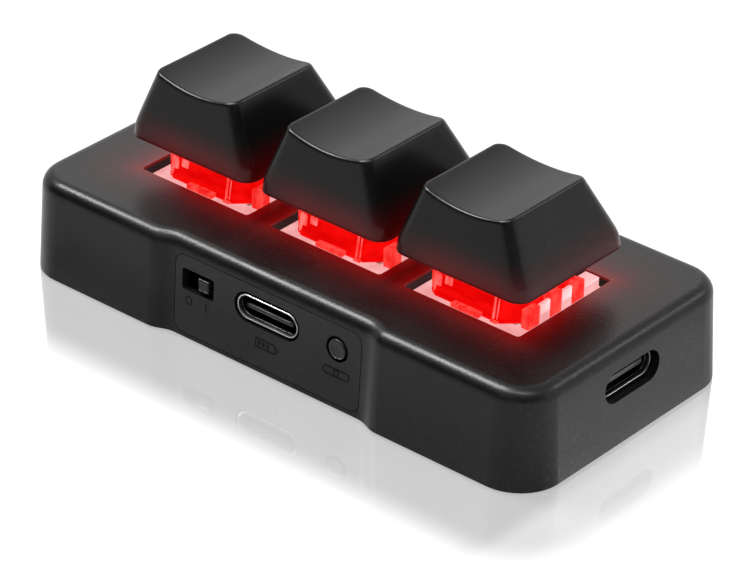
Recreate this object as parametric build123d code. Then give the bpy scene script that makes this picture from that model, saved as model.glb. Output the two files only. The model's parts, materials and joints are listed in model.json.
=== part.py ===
from build123d import *
import math
import os

# A desk macro keypad with three switches in a row, a recessed panel of controls
# along its front and one more port in its right end.
# Origin: middle of the footprint, on the desk. +X runs along the key row, the
# control panel faces -Y, +Z is up. All lengths are millimetres.

# Key row
key_count = 3
key_travel = 4.0

# Case shell
case_corner_radius = 5.3
case_top_round = 1.6
case_draft = 2.9
case_wall = 1.8
cavity_corner_radius = 3.0
foot_proud = 0.3
key_hole_gap = 0.1
key_hole_corner = 0.4

# Recess in the front wall, with the control panel set into it
recess_centre_x = -0.4
recess_depth = 0.86
recess_slope_run = 2.0
recess_edge_round = 3.0
panel_side_gap = 0.6
panel_drop = 1.75
panel_thickness = 0.8
panel_rise = 0.55
panel_corner_radius = 1.3
panel_gap = 0.08
window_ledge = 1.0
window_side_margin = 0.45
window_margin = 0.35
window_corner_radius = 0.8

# Switch mounting, measured from the plate's upper face
flange_inset = 1.28
flange_thickness = 1.0
plate_to_board = 5.0
plate_thickness = 1.5
plate_end_margin = 1.225
plate_side_margin = 1.675
plate_corner_radius = 1.0
plate_hole_gap = 0.05
plate_screw_offset = 6.6
plate_screw_length = 2.8
plate_screw_diameter = 1.6
plate_screw_head_diameter = 3.0
plate_screw_head_height = 0.9
plate_screw_base_gap = 0.9
screw_end_gap = 0.3

# Circuit boards
board_thickness = 1.6
board_clearance = 0.3
board_corner_radius = 2.0
daughter_thickness = 1.0
control_board_margin = 1.5
link_board_margin = 1.53
board_base_gap = 1.12

# Bottom cover, its screws and feet
cover_thickness = 1.2
cover_ledge = 0.9
cover_gap = 0.1
pillar_inset = 3.0
pillar_diameter = 4.6
screw_diameter = 1.9
screw_grip = 3.08
screw_head_diameter = 3.7
screw_head_height = 1.0
screw_head_gap = 0.05
driver_slot_width = 0.5
driver_slot_length = 2.2
driver_slot_depth = 0.45
foot_diameter = 7.0
foot_pocket_depth = 0.5
foot_inset = 8.0
foot_edge_round = 0.15

# Switch base, the pale lower half of a switch
base_size = 13.95
base_corner_radius = 0.6
flange_size = 15.6
flange_corner_radius = 0.5
base_floor = 1.0
base_cavity_length = 10.4
base_cavity_width = 9.0
centre_pin_diameter = 3.9
centre_pin_drop = 3.0
guide_wall = 0.5
guide_tube_height = 4.0
guide_bore_gap = 0.05
guide_bore_drop = 1.6
latch_width = 1.6
latch_spacing = 3.7
latch_thickness = 0.35
latch_height = 2.4
latch_gap = 0.1

# Switch top, the glowing upper half of a switch
top_height = 5.6
top_base_length = 12.4
top_base_width = 11.0
top_crown_length = 10.0
top_crown_width = 9.2
top_chamfer = 0.7
top_base_front_chamfer = 2.8
top_crown_front_chamfer = 1.6
top_wall = 0.9
top_roof = 1.2
stem_opening_gap = 0.05

# Sliding stem and its cross
stem_length = 6.6
stem_width = 5.9
stem_height = 4.8
stem_ear_length = 7.8
stem_ear_width = 3.6
stem_ear_height = 1.0
stem_ear_gap = 0.1
stem_corner_radius = 0.4
spring_bore_gap = 0.35
spring_bore_depth = 2.6
stem_rod_diameter = 1.9
stem_rod_drop = 3.0
cross_span = 4.05
cross_thickness_x = 1.3
cross_thickness_y = 1.1
cross_height = 3.6

# Return spring
spring_wire = 0.4
spring_guide_gap = 0.25
spring_turns = 8
spring_seat_gap = 0.05

# Contacts, pins and lamp of a switch
contact_thickness = 0.3
contact_height = 4.0
pin_width = 0.7
pin_drop = 3.2
pin_end_gap = 0.12
pin_hole_diameter = 1.5
fixed_pin_x = -3.81
fixed_pin_y = 2.54
fixed_blade_width = 0.8
leaf_pin_x = 2.54
leaf_pin_y = 5.0
leaf_blade_width = 2.8
contact_gap = 0.05
lamp_offset = 4.7
lamp_length = 3.2
lamp_width = 2.8
lamp_height = 1.5
lamp_lens_diameter = 2.2
lamp_lens_height = 0.4
lamp_gap = 0.2

# Keycap
cap_size = 18.0
cap_gap = 1.05
cap_corner_radius = 1.9
cap_base_gap = 4.53
cap_skirt_height = 1.5
cap_skirt_draw = 0.15
cap_skirt_blend = 3.0
cap_draw_length = 6.25
cap_draw_width = 4.7
cap_top_shift = -1.24
cap_top_corner_radius = 1.3
cap_top_height = 7.7
cap_dish_depth = 0.95
cap_edge_round = 0.35
cap_wall = 1.35
least_radius_share = 0.25
cap_roof = 1.6
cap_post_diameter = 5.5
cap_post_gap = 0.08
cross_fit_gap = 0.03

# Two ports of the same kind, one in the panel and one in the right end
port_outer_width = 8.94
port_outer_height = 3.26
port_shell_wall = 0.3
port_depth = 7.35
port_shell_back = 0.25
port_block_depth = 2.3
port_block_gap = 0.02
tongue_width = 6.7
tongue_thickness = 0.7
tongue_length = 4.4
port_opening_gap = 0.2
front_port_inset = 0.1
side_port_inset = 0.9
plate_port_gap = 0.478
base_port_gap = 1.863

# Power slide switch, left of the front port
control_gap = 2.03
power_body_depth = 3.0
power_body_wall = 0.4
power_body_inset = 0.4
power_travel = 1.5
power_slot_play = 0.825
power_slot_margin = 0.55
power_slot_corner = 0.35
power_knob_length = 1.5
power_knob_height = 1.5
power_knob_round = 0.2
power_carriage_length = 3.0
power_carriage_play = 0.85
power_running_gap = 0.06

# Pairing button, right of the front port, and the push switch behind it
pair_travel = 0.4
pair_button_diameter = 2.5
pair_hole_gap = 0.275
pair_button_proud = 0.1
pair_button_round = 0.25
pair_flange_ledge = 0.325
pair_flange_thickness = 0.6
pair_flange_gap = 0.2
push_body_length = 6.0
push_body_depth = 3.2
push_bore_depth = 1.4
push_plunger_diameter = 1.8
push_running_gap = 0.06
push_seat_gap = 0.2

# Battery and its leads
battery_width = 5.8
battery_plate_gap = 0.65
battery_top_gap = 0.7
battery_corner_radius = 0.9
lead_diameter = 0.9
lead_length = 2.4
lead_spacing = 2.0
connector_length = 3.4
connector_width = 5.2
connector_height = 2.9
connector_pillar_gap = 1.0

# Chips on the main board
controller_chip_size = 5.0
charger_chip_size = 3.0
chip_thickness = 0.9
chip_offset = 5.6

# How far a cutting tool runs past what it cuts
overrun = 0.6

# Sizes worked out from what each piece holds or fits
key_pitch = max(cap_size + cap_gap, base_size + plate_screw_head_diameter + plate_screw_base_gap * 2)
row_span = key_pitch * (key_count - 1)
cap_top_length = cap_size - cap_draw_length
cap_top_width = cap_size - cap_draw_width
plate_hole_size = base_size + plate_hole_gap * 2
plate_length = row_span + plate_hole_size + plate_end_margin * 2
plate_width = plate_hole_size + plate_side_margin * 2
key_hole_size = flange_size + key_hole_gap * 2
latch_stand_off = top_base_length / 2 + latch_gap
guide_bore_diameter = stem_rod_diameter + guide_bore_gap * 2
guide_tube_diameter = guide_bore_diameter + guide_wall * 2
spring_mean_diameter = guide_tube_diameter + spring_wire + spring_guide_gap * 2
spring_bore_diameter = spring_mean_diameter + spring_wire + spring_bore_gap * 2
screw_hole_diameter = screw_diameter + screw_head_gap * 2
power_body_length = power_carriage_length + power_travel + (power_body_wall + power_carriage_play) * 2
power_body_height = port_outer_height
power_slot_length = power_knob_length + power_travel + power_slot_play * 2
power_slot_height = power_knob_height + power_slot_margin * 2
pair_hole_diameter = pair_button_diameter + pair_hole_gap * 2
pair_flange_diameter = pair_hole_diameter + pair_flange_ledge * 2
push_body_height = port_outer_height
control_spacing = (port_outer_width + power_body_length) / 2 + control_gap
control_board_length = control_spacing * 2 + power_body_length + control_board_margin * 2
link_board_width = port_outer_width + link_board_margin * 2
window_width = control_spacing * 2 + pair_flange_diameter + window_side_margin * 2
window_height = pair_flange_diameter + window_margin * 2
panel_width = window_width + window_ledge * 2
recess_width = panel_width + panel_side_gap * 2
board_height = cover_thickness + pin_end_gap + pin_drop
case_height = board_height + plate_to_board + flange_thickness + flange_inset
panel_height = case_height - panel_rise - panel_drop
battery_thickness = plate_to_board - battery_top_gap
screw_length = board_height + screw_grip

# Heights worked out from the stack
case_bottom_z = foot_proud
case_top_z = case_bottom_z + case_height
flange_top_z = case_top_z - flange_inset
plate_top_z = flange_top_z - flange_thickness
plate_bottom_z = plate_top_z - plate_thickness
board_top_z = plate_top_z - plate_to_board
board_bottom_z = board_top_z - board_thickness
daughter_top_z = board_top_z + daughter_thickness
cover_top_z = case_bottom_z + cover_thickness
base_floor_z = board_top_z + base_floor
crown_z = flange_top_z + top_height
port_z = daughter_top_z + port_outer_height / 2
stem_bottom_z = crown_z - stem_height
spring_top_z = stem_bottom_z + spring_bore_depth
cap_base_z = case_top_z + cap_base_gap
cap_top_z = cap_base_z + cap_top_height

# Plan positions worked out from the shell
draft_slope = math.tan(math.radians(case_draft))
draft_shift = case_height * draft_slope
port_lean = (port_z - case_bottom_z) * draft_slope
front_port_reach = plate_port_gap + port_depth + front_port_inset
front_half_width = plate_width / 2 + front_port_reach + port_lean + recess_depth
battery_reach = battery_plate_gap + battery_width + board_clearance
back_half_width = plate_width / 2 + battery_reach + draft_shift + case_wall
end_room = base_port_gap + port_depth + side_port_inset + port_lean
case_width = max(front_half_width, back_half_width) * 2
case_length = row_span + base_size + end_room * 2
cavity_half_length = case_length / 2 - draft_shift - case_wall
recess_face_y = recess_depth - case_width / 2
cavity_front_y = recess_face_y + draft_shift + case_wall
cavity_back_y = case_width / 2 - draft_shift - case_wall
cavity_width = cavity_back_y - cavity_front_y
cavity_centre_y = (cavity_back_y + cavity_front_y) / 2
panel_face_y = recess_face_y + port_lean
panel_back_y = panel_face_y + panel_thickness
end_face_x = case_length / 2 - port_lean
battery_middle_y = cavity_back_y - board_clearance - battery_width / 2
power_x = recess_centre_x - control_spacing
pair_x = recess_centre_x + control_spacing
key_places = [(index - (key_count - 1) / 2) * key_pitch for index in range(key_count)]
bar_places = [(index - (key_count - 2) / 2) * key_pitch for index in range(key_count - 1)]
plate_screw_places = [(x, side * plate_screw_offset) for x in bar_places for side in (-1, 1)]
pillar_half_span_x = cavity_half_length - pillar_inset
pillar_front_y = cavity_front_y + pillar_inset
pillar_back_y = cavity_back_y - pillar_inset
connector_end_x = pillar_half_span_x - pillar_diameter / 2 - connector_pillar_gap
battery_length = (connector_end_x - connector_length - lead_length) * 2
control_board_depth = -cavity_front_y - board_clearance - base_size / 2 - board_base_gap
link_board_length = cavity_half_length - board_clearance - (row_span + base_size) / 2 - board_base_gap
pillar_places = [
    (x, y) for x in (-pillar_half_span_x, pillar_half_span_x) for y in (pillar_front_y, pillar_back_y)
]
foot_places = [(math.copysign(abs(x) - foot_inset, x), y) for x, y in pillar_places]
wall_plane = Plane(
    origin=(recess_centre_x, recess_face_y, case_bottom_z),
    x_dir=(1, 0, 0),
    z_dir=(0, -math.cos(math.radians(case_draft)), math.sin(math.radians(case_draft))),
)
control_rise = (port_z - case_bottom_z) / math.cos(math.radians(case_draft))


def crate(x, y, length, width, z_low, z_high):
    """A box standing on a plan centre."""
    return Pos(x, y, (z_low + z_high) / 2) * Box(length, width, z_high - z_low)


def upright(x, y, z_low, z_high, diameter):
    """A round bar standing along Z."""
    return Pos(x, y, (z_low + z_high) / 2) * Cylinder(diameter / 2, z_high - z_low)


def forward(x, z, y_low, y_high, diameter):
    """A round bar lying along Y."""
    return Pos(x, (y_low + y_high) / 2, z) * Rot(X=90) * Cylinder(diameter / 2, y_high - y_low)


def slab(x, y, length, width, radius, z_low, z_high):
    """A plate with rounded corners."""
    return extrude(Pos(x, y, z_low) * RectangleRounded(length, width, radius), z_high - z_low)


def cut_corner_rectangle(length, width, chamfer, front_right_chamfer):
    """A rectangle with its corners cut off, the front right one by more."""
    half_length = length / 2
    half_width = width / 2
    points = []
    for side_x, side_y in ((1, 1), (-1, 1), (-1, -1), (1, -1)):
        cut = front_right_chamfer if side_x > side_y else chamfer
        long_point = (side_x * half_length, side_y * (half_width - cut))
        short_point = (side_x * (half_length - cut), side_y * half_width)
        points += [long_point, short_point] if side_x == side_y else [short_point, long_point]
    return make_face(Polyline(*points, close=True))


def case_outline():
    """The footprint, with the shallow slope-sided recess in its front."""
    half = recess_width / 2
    front_y = -case_width / 2
    notch = make_face(
        Polyline(
            (recess_centre_x - half - recess_slope_run, front_y),
            (recess_centre_x - half, recess_face_y),
            (recess_centre_x + half, recess_face_y),
            (recess_centre_x + half + recess_slope_run, front_y),
            close=True,
        )
    )
    outline = RectangleRounded(case_length, case_width, case_corner_radius) - notch
    reach = half + recess_slope_run + overrun
    notch_corners = [v for v in outline.vertices() if abs(v.X - recess_centre_x) < reach and v.Y < 0]
    return fillet(notch_corners, recess_edge_round)


def panel_sheet(grow, depth_from, depth_to):
    """A sheet of the panel's outline, let into the recess between two depths."""
    outline = RectangleRounded(panel_width + grow * 2, panel_height + grow * 2, panel_corner_radius + grow)
    centre = Pos(0, panel_rise + panel_height / 2, -depth_from)
    return extrude(wall_plane * centre * outline, depth_from - depth_to)


def port_outline(grow):
    """The ports' stadium-like mouth, with a margin added all round."""
    height = port_outer_height + grow * 2
    return SlotOverall(port_outer_width + grow * 2, height)


def front_port_bar(grow, y_low, y_high):
    """A bar of the port's section along Y at the front port."""
    plane = Plane(origin=(recess_centre_x, y_low, port_z), x_dir=(1, 0, 0), z_dir=(0, -1, 0))
    return extrude(plane * port_outline(grow), y_low - y_high)


def side_port_bar(grow, x_low, x_high):
    """A bar of the port's section along X at the side port."""
    plane = Plane(origin=(x_low, 0, port_z), x_dir=(0, 1, 0), z_dir=(1, 0, 0))
    return extrude(plane * port_outline(grow), x_high - x_low)


def cavity_slab(grow, z_low, z_high):
    """A slab of the hollow's outline, with a margin added all round."""
    length = (cavity_half_length + grow) * 2
    width = cavity_width + grow * 2
    return slab(0, cavity_centre_y, length, width, cavity_corner_radius + grow, z_low, z_high)


def make_top_case():
    shell = extrude(Pos(0, 0, case_bottom_z) * case_outline(), case_height, taper=case_draft)
    shell = fillet(shell.edges().group_by(Axis.Z)[-1], case_top_round)
    shell -= cavity_slab(0, case_bottom_z, plate_top_z)
    shell -= cavity_slab(cover_ledge, case_bottom_z - overrun, cover_top_z)
    for x, y in pillar_places:
        shell += upright(x, y, board_top_z, plate_top_z, pillar_diameter)
        shell -= upright(x, y, board_top_z - overrun, plate_top_z, screw_hole_diameter)
    hole_low_z = plate_top_z - overrun
    for x in key_places:
        shell -= slab(x, 0, key_hole_size, key_hole_size, key_hole_corner, hole_low_z, case_top_z + overrun)
    bore_high_z = plate_bottom_z + plate_screw_length + screw_end_gap
    for x, y in plate_screw_places:
        shell -= upright(x, y, hole_low_z, bore_high_z, plate_screw_diameter)
    shell -= panel_sheet(panel_gap, -overrun, panel_thickness)
    window = Pos(0, control_rise, 0) * RectangleRounded(window_width, window_height, window_corner_radius)
    window_depth = cavity_front_y - recess_face_y + overrun
    shell -= extrude(wall_plane * window, -window_depth)
    shell -= side_port_bar(port_opening_gap, cavity_half_length - overrun, case_length / 2 + overrun)
    return shell


def make_port_panel():
    panel = panel_sheet(0, 0, panel_thickness)
    y_low = panel_face_y - overrun
    y_high = panel_back_y + overrun
    panel -= front_port_bar(port_opening_gap, y_low, y_high)
    slot = RectangleRounded(power_slot_length, power_slot_height, power_slot_corner)
    slot_plane = Plane(origin=(power_x, y_low, port_z), x_dir=(1, 0, 0), z_dir=(0, -1, 0))
    panel -= extrude(slot_plane * slot, y_low - y_high)
    panel -= forward(pair_x, port_z, y_low, y_high, pair_hole_diameter)
    return panel


def make_bottom_cover():
    cover = cavity_slab(cover_ledge - cover_gap, case_bottom_z, cover_top_z)
    sink_depth = screw_head_height + screw_head_gap
    sink_radius = screw_head_diameter / 2 + screw_head_gap
    for x, y in pillar_places:
        cover += upright(x, y, cover_top_z, board_bottom_z, pillar_diameter)
        cover -= upright(x, y, case_bottom_z - overrun, board_bottom_z + overrun, screw_hole_diameter)
        sink = Cone(sink_radius, screw_hole_diameter / 2, sink_depth)
        cover -= Pos(x, y, case_bottom_z + sink_depth / 2) * sink
    for x, y in foot_places:
        cover -= upright(x, y, case_bottom_z - overrun, case_bottom_z + foot_pocket_depth, foot_diameter)
    return cover


def make_rubber_feet():
    feet = []
    for x, y in foot_places:
        foot = upright(x, y, 0, case_bottom_z + foot_pocket_depth, foot_diameter)
        feet.append(fillet(foot.edges().group_by(Axis.Z)[0], foot_edge_round))
    return Compound(children=feet)


def make_case_screws():
    screws = []
    for x, y in pillar_places:
        head = Cone(screw_head_diameter / 2, screw_diameter / 2, screw_head_height)
        screw = Pos(x, y, case_bottom_z + screw_head_height / 2) * head
        head_top_z = case_bottom_z + screw_head_height
        screw += upright(x, y, head_top_z, case_bottom_z + screw_length, screw_diameter)
        slot_low_z = case_bottom_z - overrun
        slot_high_z = case_bottom_z + driver_slot_depth
        screw -= crate(x, y, driver_slot_length, driver_slot_width, slot_low_z, slot_high_z)
        screw -= crate(x, y, driver_slot_width, driver_slot_length, slot_low_z, slot_high_z)
        screws.append(screw)
    return Compound(children=screws)


def make_switch_plate():
    plate = slab(0, 0, plate_length, plate_width, plate_corner_radius, plate_bottom_z, plate_top_z)
    low_z = plate_bottom_z - overrun
    high_z = plate_top_z + overrun
    for x in key_places:
        plate -= slab(x, 0, plate_hole_size, plate_hole_size, key_hole_corner, low_z, high_z)
    for x, y in plate_screw_places:
        plate -= upright(x, y, low_z, high_z, plate_screw_diameter)
    return plate


def make_plate_screws():
    screws = []
    shank_diameter = plate_screw_diameter - screw_head_gap * 2
    head_low_z = plate_bottom_z - plate_screw_head_height
    slot_high_z = head_low_z + driver_slot_depth
    for x, y in plate_screw_places:
        screw = upright(x, y, head_low_z, plate_bottom_z, plate_screw_head_diameter)
        screw += upright(x, y, plate_bottom_z, plate_bottom_z + plate_screw_length, shank_diameter)
        screw -= crate(x, y, driver_slot_length, driver_slot_width, head_low_z - overrun, slot_high_z)
        screws.append(screw)
    return Compound(children=screws)


def make_main_board():
    length = (cavity_half_length - board_clearance) * 2
    width = cavity_width - board_clearance * 2
    board = slab(0, cavity_centre_y, length, width, board_corner_radius, board_bottom_z, board_top_z)
    drill_low = board_bottom_z - overrun
    drill_high = board_top_z + overrun
    for x, y in pillar_places:
        board -= upright(x, y, drill_low, drill_high, screw_hole_diameter)
    for x in key_places:
        board -= upright(x, 0, drill_low, drill_high, centre_pin_diameter + contact_gap * 2)
        board -= upright(x + fixed_pin_x, fixed_pin_y, drill_low, drill_high, pin_hole_diameter)
        board -= upright(x + leaf_pin_x, leaf_pin_y, drill_low, drill_high, pin_hole_diameter)
    return board


def make_control_board():
    middle_y = cavity_front_y + board_clearance + control_board_depth / 2
    return crate(
        recess_centre_x, middle_y, control_board_length, control_board_depth, board_top_z, daughter_top_z
    )


def make_link_board():
    middle_x = cavity_half_length - board_clearance - link_board_length / 2
    return crate(middle_x, 0, link_board_length, link_board_width, board_top_z, daughter_top_z)


def make_front_port_shell():
    mouth_y = panel_face_y + front_port_inset
    back_y = mouth_y + port_depth
    shell = front_port_bar(0, mouth_y, back_y)
    return shell - front_port_bar(-port_shell_wall, mouth_y - overrun, back_y - port_shell_back)


def make_front_port_tongue():
    block_back = panel_face_y + front_port_inset + port_depth - port_shell_back
    block_front = block_back - port_block_depth
    core = front_port_bar(-port_shell_wall - port_block_gap, block_front, block_back)
    middle_y = block_front - tongue_length / 2
    return core + Pos(recess_centre_x, middle_y, port_z) * Box(tongue_width, tongue_length, tongue_thickness)


def make_side_port_shell():
    mouth_x = end_face_x - side_port_inset
    back_x = mouth_x - port_depth
    shell = side_port_bar(0, back_x, mouth_x)
    return shell - side_port_bar(-port_shell_wall, back_x + port_shell_back, mouth_x + overrun)


def make_side_port_tongue():
    block_back = end_face_x - side_port_inset - port_depth + port_shell_back
    block_front = block_back + port_block_depth
    core = side_port_bar(-port_shell_wall - port_block_gap, block_back, block_front)
    middle_x = block_front + tongue_length / 2
    return core + Pos(middle_x, 0, port_z) * Box(tongue_length, tongue_width, tongue_thickness)


def make_power_body():
    front_y = cavity_front_y + power_body_inset
    middle_y = front_y + power_body_depth / 2
    top_z = daughter_top_z + power_body_height
    wall = power_body_wall * 2
    body = crate(power_x, middle_y, power_body_length, power_body_depth, daughter_top_z, top_z)
    body -= crate(
        power_x,
        middle_y,
        power_body_length - wall,
        power_body_depth - wall,
        daughter_top_z + power_body_wall,
        top_z - power_body_wall,
    )
    slot_length = power_travel + power_knob_length + power_running_gap * 2
    slot_height = power_knob_height + power_running_gap * 2
    slot_depth = power_body_wall * 2 + overrun
    return body - Pos(power_x, front_y, port_z) * Box(slot_length, slot_depth, slot_height)


def make_power_slider():
    rest_x = power_x + power_travel / 2
    middle_y = cavity_front_y + power_body_inset + power_body_depth / 2
    inner_gap = (power_body_wall + power_running_gap) * 2
    knob_length_y = middle_y - panel_face_y
    knob = Box(power_knob_length, knob_length_y, power_knob_height)
    knob = Pos(rest_x, panel_face_y + knob_length_y / 2, port_z) * knob
    knob = fillet(knob.faces().sort_by(Axis.Y)[0].edges(), power_knob_round)
    carriage = Box(power_carriage_length, power_body_depth - inner_gap, power_body_height - inner_gap)
    return knob + Pos(rest_x, middle_y, daughter_top_z + power_body_height / 2) * carriage


def make_pair_button():
    face_y = panel_face_y - pair_button_proud
    flange_front_y = panel_back_y + pair_flange_gap
    flange_back_y = flange_front_y + pair_flange_thickness
    button = forward(pair_x, port_z, face_y, flange_back_y, pair_button_diameter)
    button = fillet(button.edges().sort_by(Axis.Y)[0], pair_button_round)
    return button + forward(pair_x, port_z, flange_front_y, flange_back_y, pair_flange_diameter)


def push_front_y():
    """The front of the push switch, behind the button's full travel."""
    return panel_back_y + pair_flange_gap + pair_flange_thickness + pair_travel + push_seat_gap


def make_push_body():
    front_y = push_front_y()
    middle_y = front_y + push_body_depth / 2
    top_z = daughter_top_z + push_body_height
    body = crate(pair_x, middle_y, push_body_length, push_body_depth, daughter_top_z, top_z)
    bore = push_plunger_diameter + push_running_gap * 2
    return body - forward(pair_x, port_z, front_y - overrun, front_y + push_bore_depth, bore)


def make_push_plunger():
    button_back_y = panel_back_y + pair_flange_gap + pair_flange_thickness
    rest_back_y = push_front_y() + push_bore_depth - pair_travel - push_seat_gap
    return forward(pair_x, port_z, button_back_y, rest_back_y, push_plunger_diameter)


def make_battery():
    cell = crate(
        0, battery_middle_y, battery_length, battery_width, board_top_z, board_top_z + battery_thickness
    )
    return fillet(cell.edges().filter_by(Axis.X), battery_corner_radius)


def make_battery_lead(side):
    middle_x = -(battery_length + lead_length) / 2
    middle_y = battery_middle_y + side * lead_spacing / 2
    middle_z = board_top_z + connector_height / 2
    return Pos(middle_x, middle_y, middle_z) * Rot(Y=90) * Cylinder(lead_diameter / 2, lead_length)


def make_battery_connector():
    middle_x = -battery_length / 2 - lead_length - connector_length / 2
    top_z = board_top_z + connector_height
    return crate(middle_x, battery_middle_y, connector_length, connector_width, board_top_z, top_z)


def make_chip(size, y):
    middle_x = (key_places[0] - base_size / 2 - cavity_half_length) / 2
    return crate(middle_x, y, size, size, board_top_z, board_top_z + chip_thickness)


def make_switch_base(x):
    base = slab(x, 0, base_size, base_size, base_corner_radius, board_top_z, plate_top_z)
    base += slab(x, 0, flange_size, flange_size, flange_corner_radius, plate_top_z, flange_top_z)
    base -= crate(x, 0, base_cavity_length, base_cavity_width, base_floor_z, flange_top_z + overrun)
    base += upright(x, 0, base_floor_z, base_floor_z + guide_tube_height, guide_tube_diameter)
    base += upright(x, 0, board_top_z - centre_pin_drop, board_top_z, centre_pin_diameter)
    bore_high_z = base_floor_z + guide_tube_height + overrun
    base -= upright(x, 0, board_top_z - guide_bore_drop, bore_high_z, guide_bore_diameter)
    pocket_high_z = board_top_z + lamp_height + lamp_lens_height + lamp_gap
    base -= crate(
        x,
        -lamp_offset,
        lamp_length + lamp_gap * 2,
        lamp_width + lamp_gap * 2,
        board_top_z - overrun,
        pocket_high_z,
    )
    for piece in fixed_contact_blocks(x, contact_gap) + leaf_contact_blocks(x, contact_gap):
        base -= piece
    latch_x = latch_stand_off + latch_thickness / 2
    latch_top_z = flange_top_z + latch_height
    for side_x in (-1, 1):
        for side_y in (-1, 1):
            middle_x = x + side_x * latch_x
            middle_y = side_y * latch_spacing / 2
            base += crate(middle_x, middle_y, latch_thickness, latch_width, plate_top_z, latch_top_z)
    return base


def contact_blocks(x, y, blade_width, grow):
    """The blade and the pin of one contact, each grown by a gap."""
    thickness = contact_thickness + grow * 2
    blade_top_z = base_floor_z + contact_height + grow
    blade = crate(x, y, blade_width + grow * 2, thickness, base_floor_z, blade_top_z)
    pin = crate(x, y, pin_width + grow * 2, thickness, board_top_z - pin_drop, base_floor_z)
    return [blade, pin]


def fixed_contact_blocks(x, grow):
    return contact_blocks(x + fixed_pin_x, fixed_pin_y, fixed_blade_width, grow)


def leaf_contact_blocks(x, grow):
    return contact_blocks(x + leaf_pin_x, leaf_pin_y, leaf_blade_width, grow)


def make_fixed_contact(x):
    blade, pin = fixed_contact_blocks(x, 0)
    return blade + pin


def make_leaf_contact(x):
    blade, pin = leaf_contact_blocks(x, 0)
    return blade + pin


def make_key_lamp(x):
    lamp = crate(x, -lamp_offset, lamp_length, lamp_width, board_top_z, board_top_z + lamp_height)
    lens_low = board_top_z + lamp_height
    return lamp + upright(x, -lamp_offset, lens_low, lens_low + lamp_lens_height, lamp_lens_diameter)


def switch_top_sections(x, high_z, inset):
    """The outlines at the foot and at the head of the upper half."""
    low = cut_corner_rectangle(
        top_base_length - inset * 2, top_base_width - inset * 2, top_chamfer, top_base_front_chamfer
    )
    high = cut_corner_rectangle(
        top_crown_length - inset * 2, top_crown_width - inset * 2, top_chamfer, top_crown_front_chamfer
    )
    return [Pos(x, 0, flange_top_z) * low, Pos(x, 0, high_z) * high]


def make_switch_top(x):
    roof_z = crown_z - top_roof
    housing = loft(switch_top_sections(x, crown_z, 0), ruled=True)
    housing -= loft(switch_top_sections(x, roof_z, top_wall), ruled=True)
    length = stem_length + stem_opening_gap * 2
    width = stem_width + stem_opening_gap * 2
    return housing - slab(x, 0, length, width, stem_corner_radius, roof_z - overrun, crown_z + overrun)


def make_switch_stem(x):
    stem = slab(x, 0, stem_length, stem_width, stem_corner_radius, stem_bottom_z, crown_z)
    ear_top_z = crown_z - top_roof - stem_ear_gap
    ear_low_z = ear_top_z - stem_ear_height
    stem += slab(x, 0, stem_ear_length, stem_ear_width, stem_corner_radius, ear_low_z, ear_top_z)
    stem -= upright(x, 0, stem_bottom_z - overrun, spring_top_z, spring_bore_diameter)
    stem += upright(x, 0, stem_bottom_z - stem_rod_drop, spring_top_z, stem_rod_diameter)
    cross_top_z = crown_z + cross_height
    for span_x, span_y in ((cross_span, cross_thickness_x), (cross_thickness_y, cross_span)):
        stem += crate(x, 0, span_x, span_y, crown_z, cross_top_z)
    return stem


def spring_point(turn, low_z, rise):
    """The helix: one round of the mean circle and one rise for each turn."""
    angle = turn * math.tau
    radius = spring_mean_diameter / 2
    return Vector(radius * math.cos(angle), radius * math.sin(angle), low_z + rise * turn)


def spring_direction(turn, rise):
    """The helix's unit tangent."""
    angle = turn * math.tau
    around = spring_mean_diameter * math.pi
    return Vector(-around * math.sin(angle), around * math.cos(angle), rise).normalized()


def tangent_pair(start, start_dir, end, end_dir):
    """Two arcs that leave one point and reach another along given tangents."""
    span = end - start
    both = start_dir + end_dir
    lean = 2 * (1 - start_dir.dot(end_dir))
    reach = (math.sqrt(span.dot(both) ** 2 + lean * span.dot(span)) - span.dot(both)) / lean
    first_knee = start + start_dir * reach
    second_knee = end - end_dir * reach
    middle = (first_knee + second_knee) * (1 / 2)
    middle_dir = (second_knee - first_knee).normalized()
    return [Edge.make_tangent_arc(start, start_dir, middle), Edge.make_tangent_arc(middle, middle_dir, end)]


def spring_rise():
    """The climb of one turn, so that the wire just fits between its seats."""
    length = spring_top_z - base_floor_z - spring_seat_gap * 2
    return (length - spring_wire * 2) / spring_turns


def make_switch_spring(x):
    rise = spring_rise()
    low_z = base_floor_z + spring_seat_gap + spring_wire
    steps = [quarter / 4 for quarter in range(spring_turns * 4 + 1)]
    first = spring_point(steps[0], low_z, rise)
    last = spring_point(steps[-1], low_z, rise)
    first_dir = spring_direction(steps[0], rise)
    last_dir = spring_direction(steps[-1], rise)
    edges = [Edge.make_line(first - first_dir * spring_wire, first)]
    for begin, end in zip(steps[:-1], steps[1:]):
        edges += tangent_pair(
            spring_point(begin, low_z, rise),
            spring_direction(begin, rise),
            spring_point(end, low_z, rise),
            spring_direction(end, rise),
        )
    edges.append(Edge.make_line(last, last + last_dir * spring_wire))
    path = Wire(edges)
    section = Plane(origin=path @ 0, z_dir=path % 0) * Circle(spring_wire / 2)
    return Pos(x, 0, 0) * sweep(section, path=path)


def print_spring_gap():
    """Prints the least gap between neighbouring turns, measured on points."""
    rise = spring_rise()
    samples = 48
    turns_measured = 3
    points = [spring_point(step / samples, 0, rise) for step in range(samples * turns_measured)]
    near_points = points[:samples]
    least = min((far - near).length for near in near_points for far in points if far.Z - near.Z > rise / 2)
    print("least gap between the turns of a spring:", round(least - spring_wire, 3), "mm")


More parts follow.
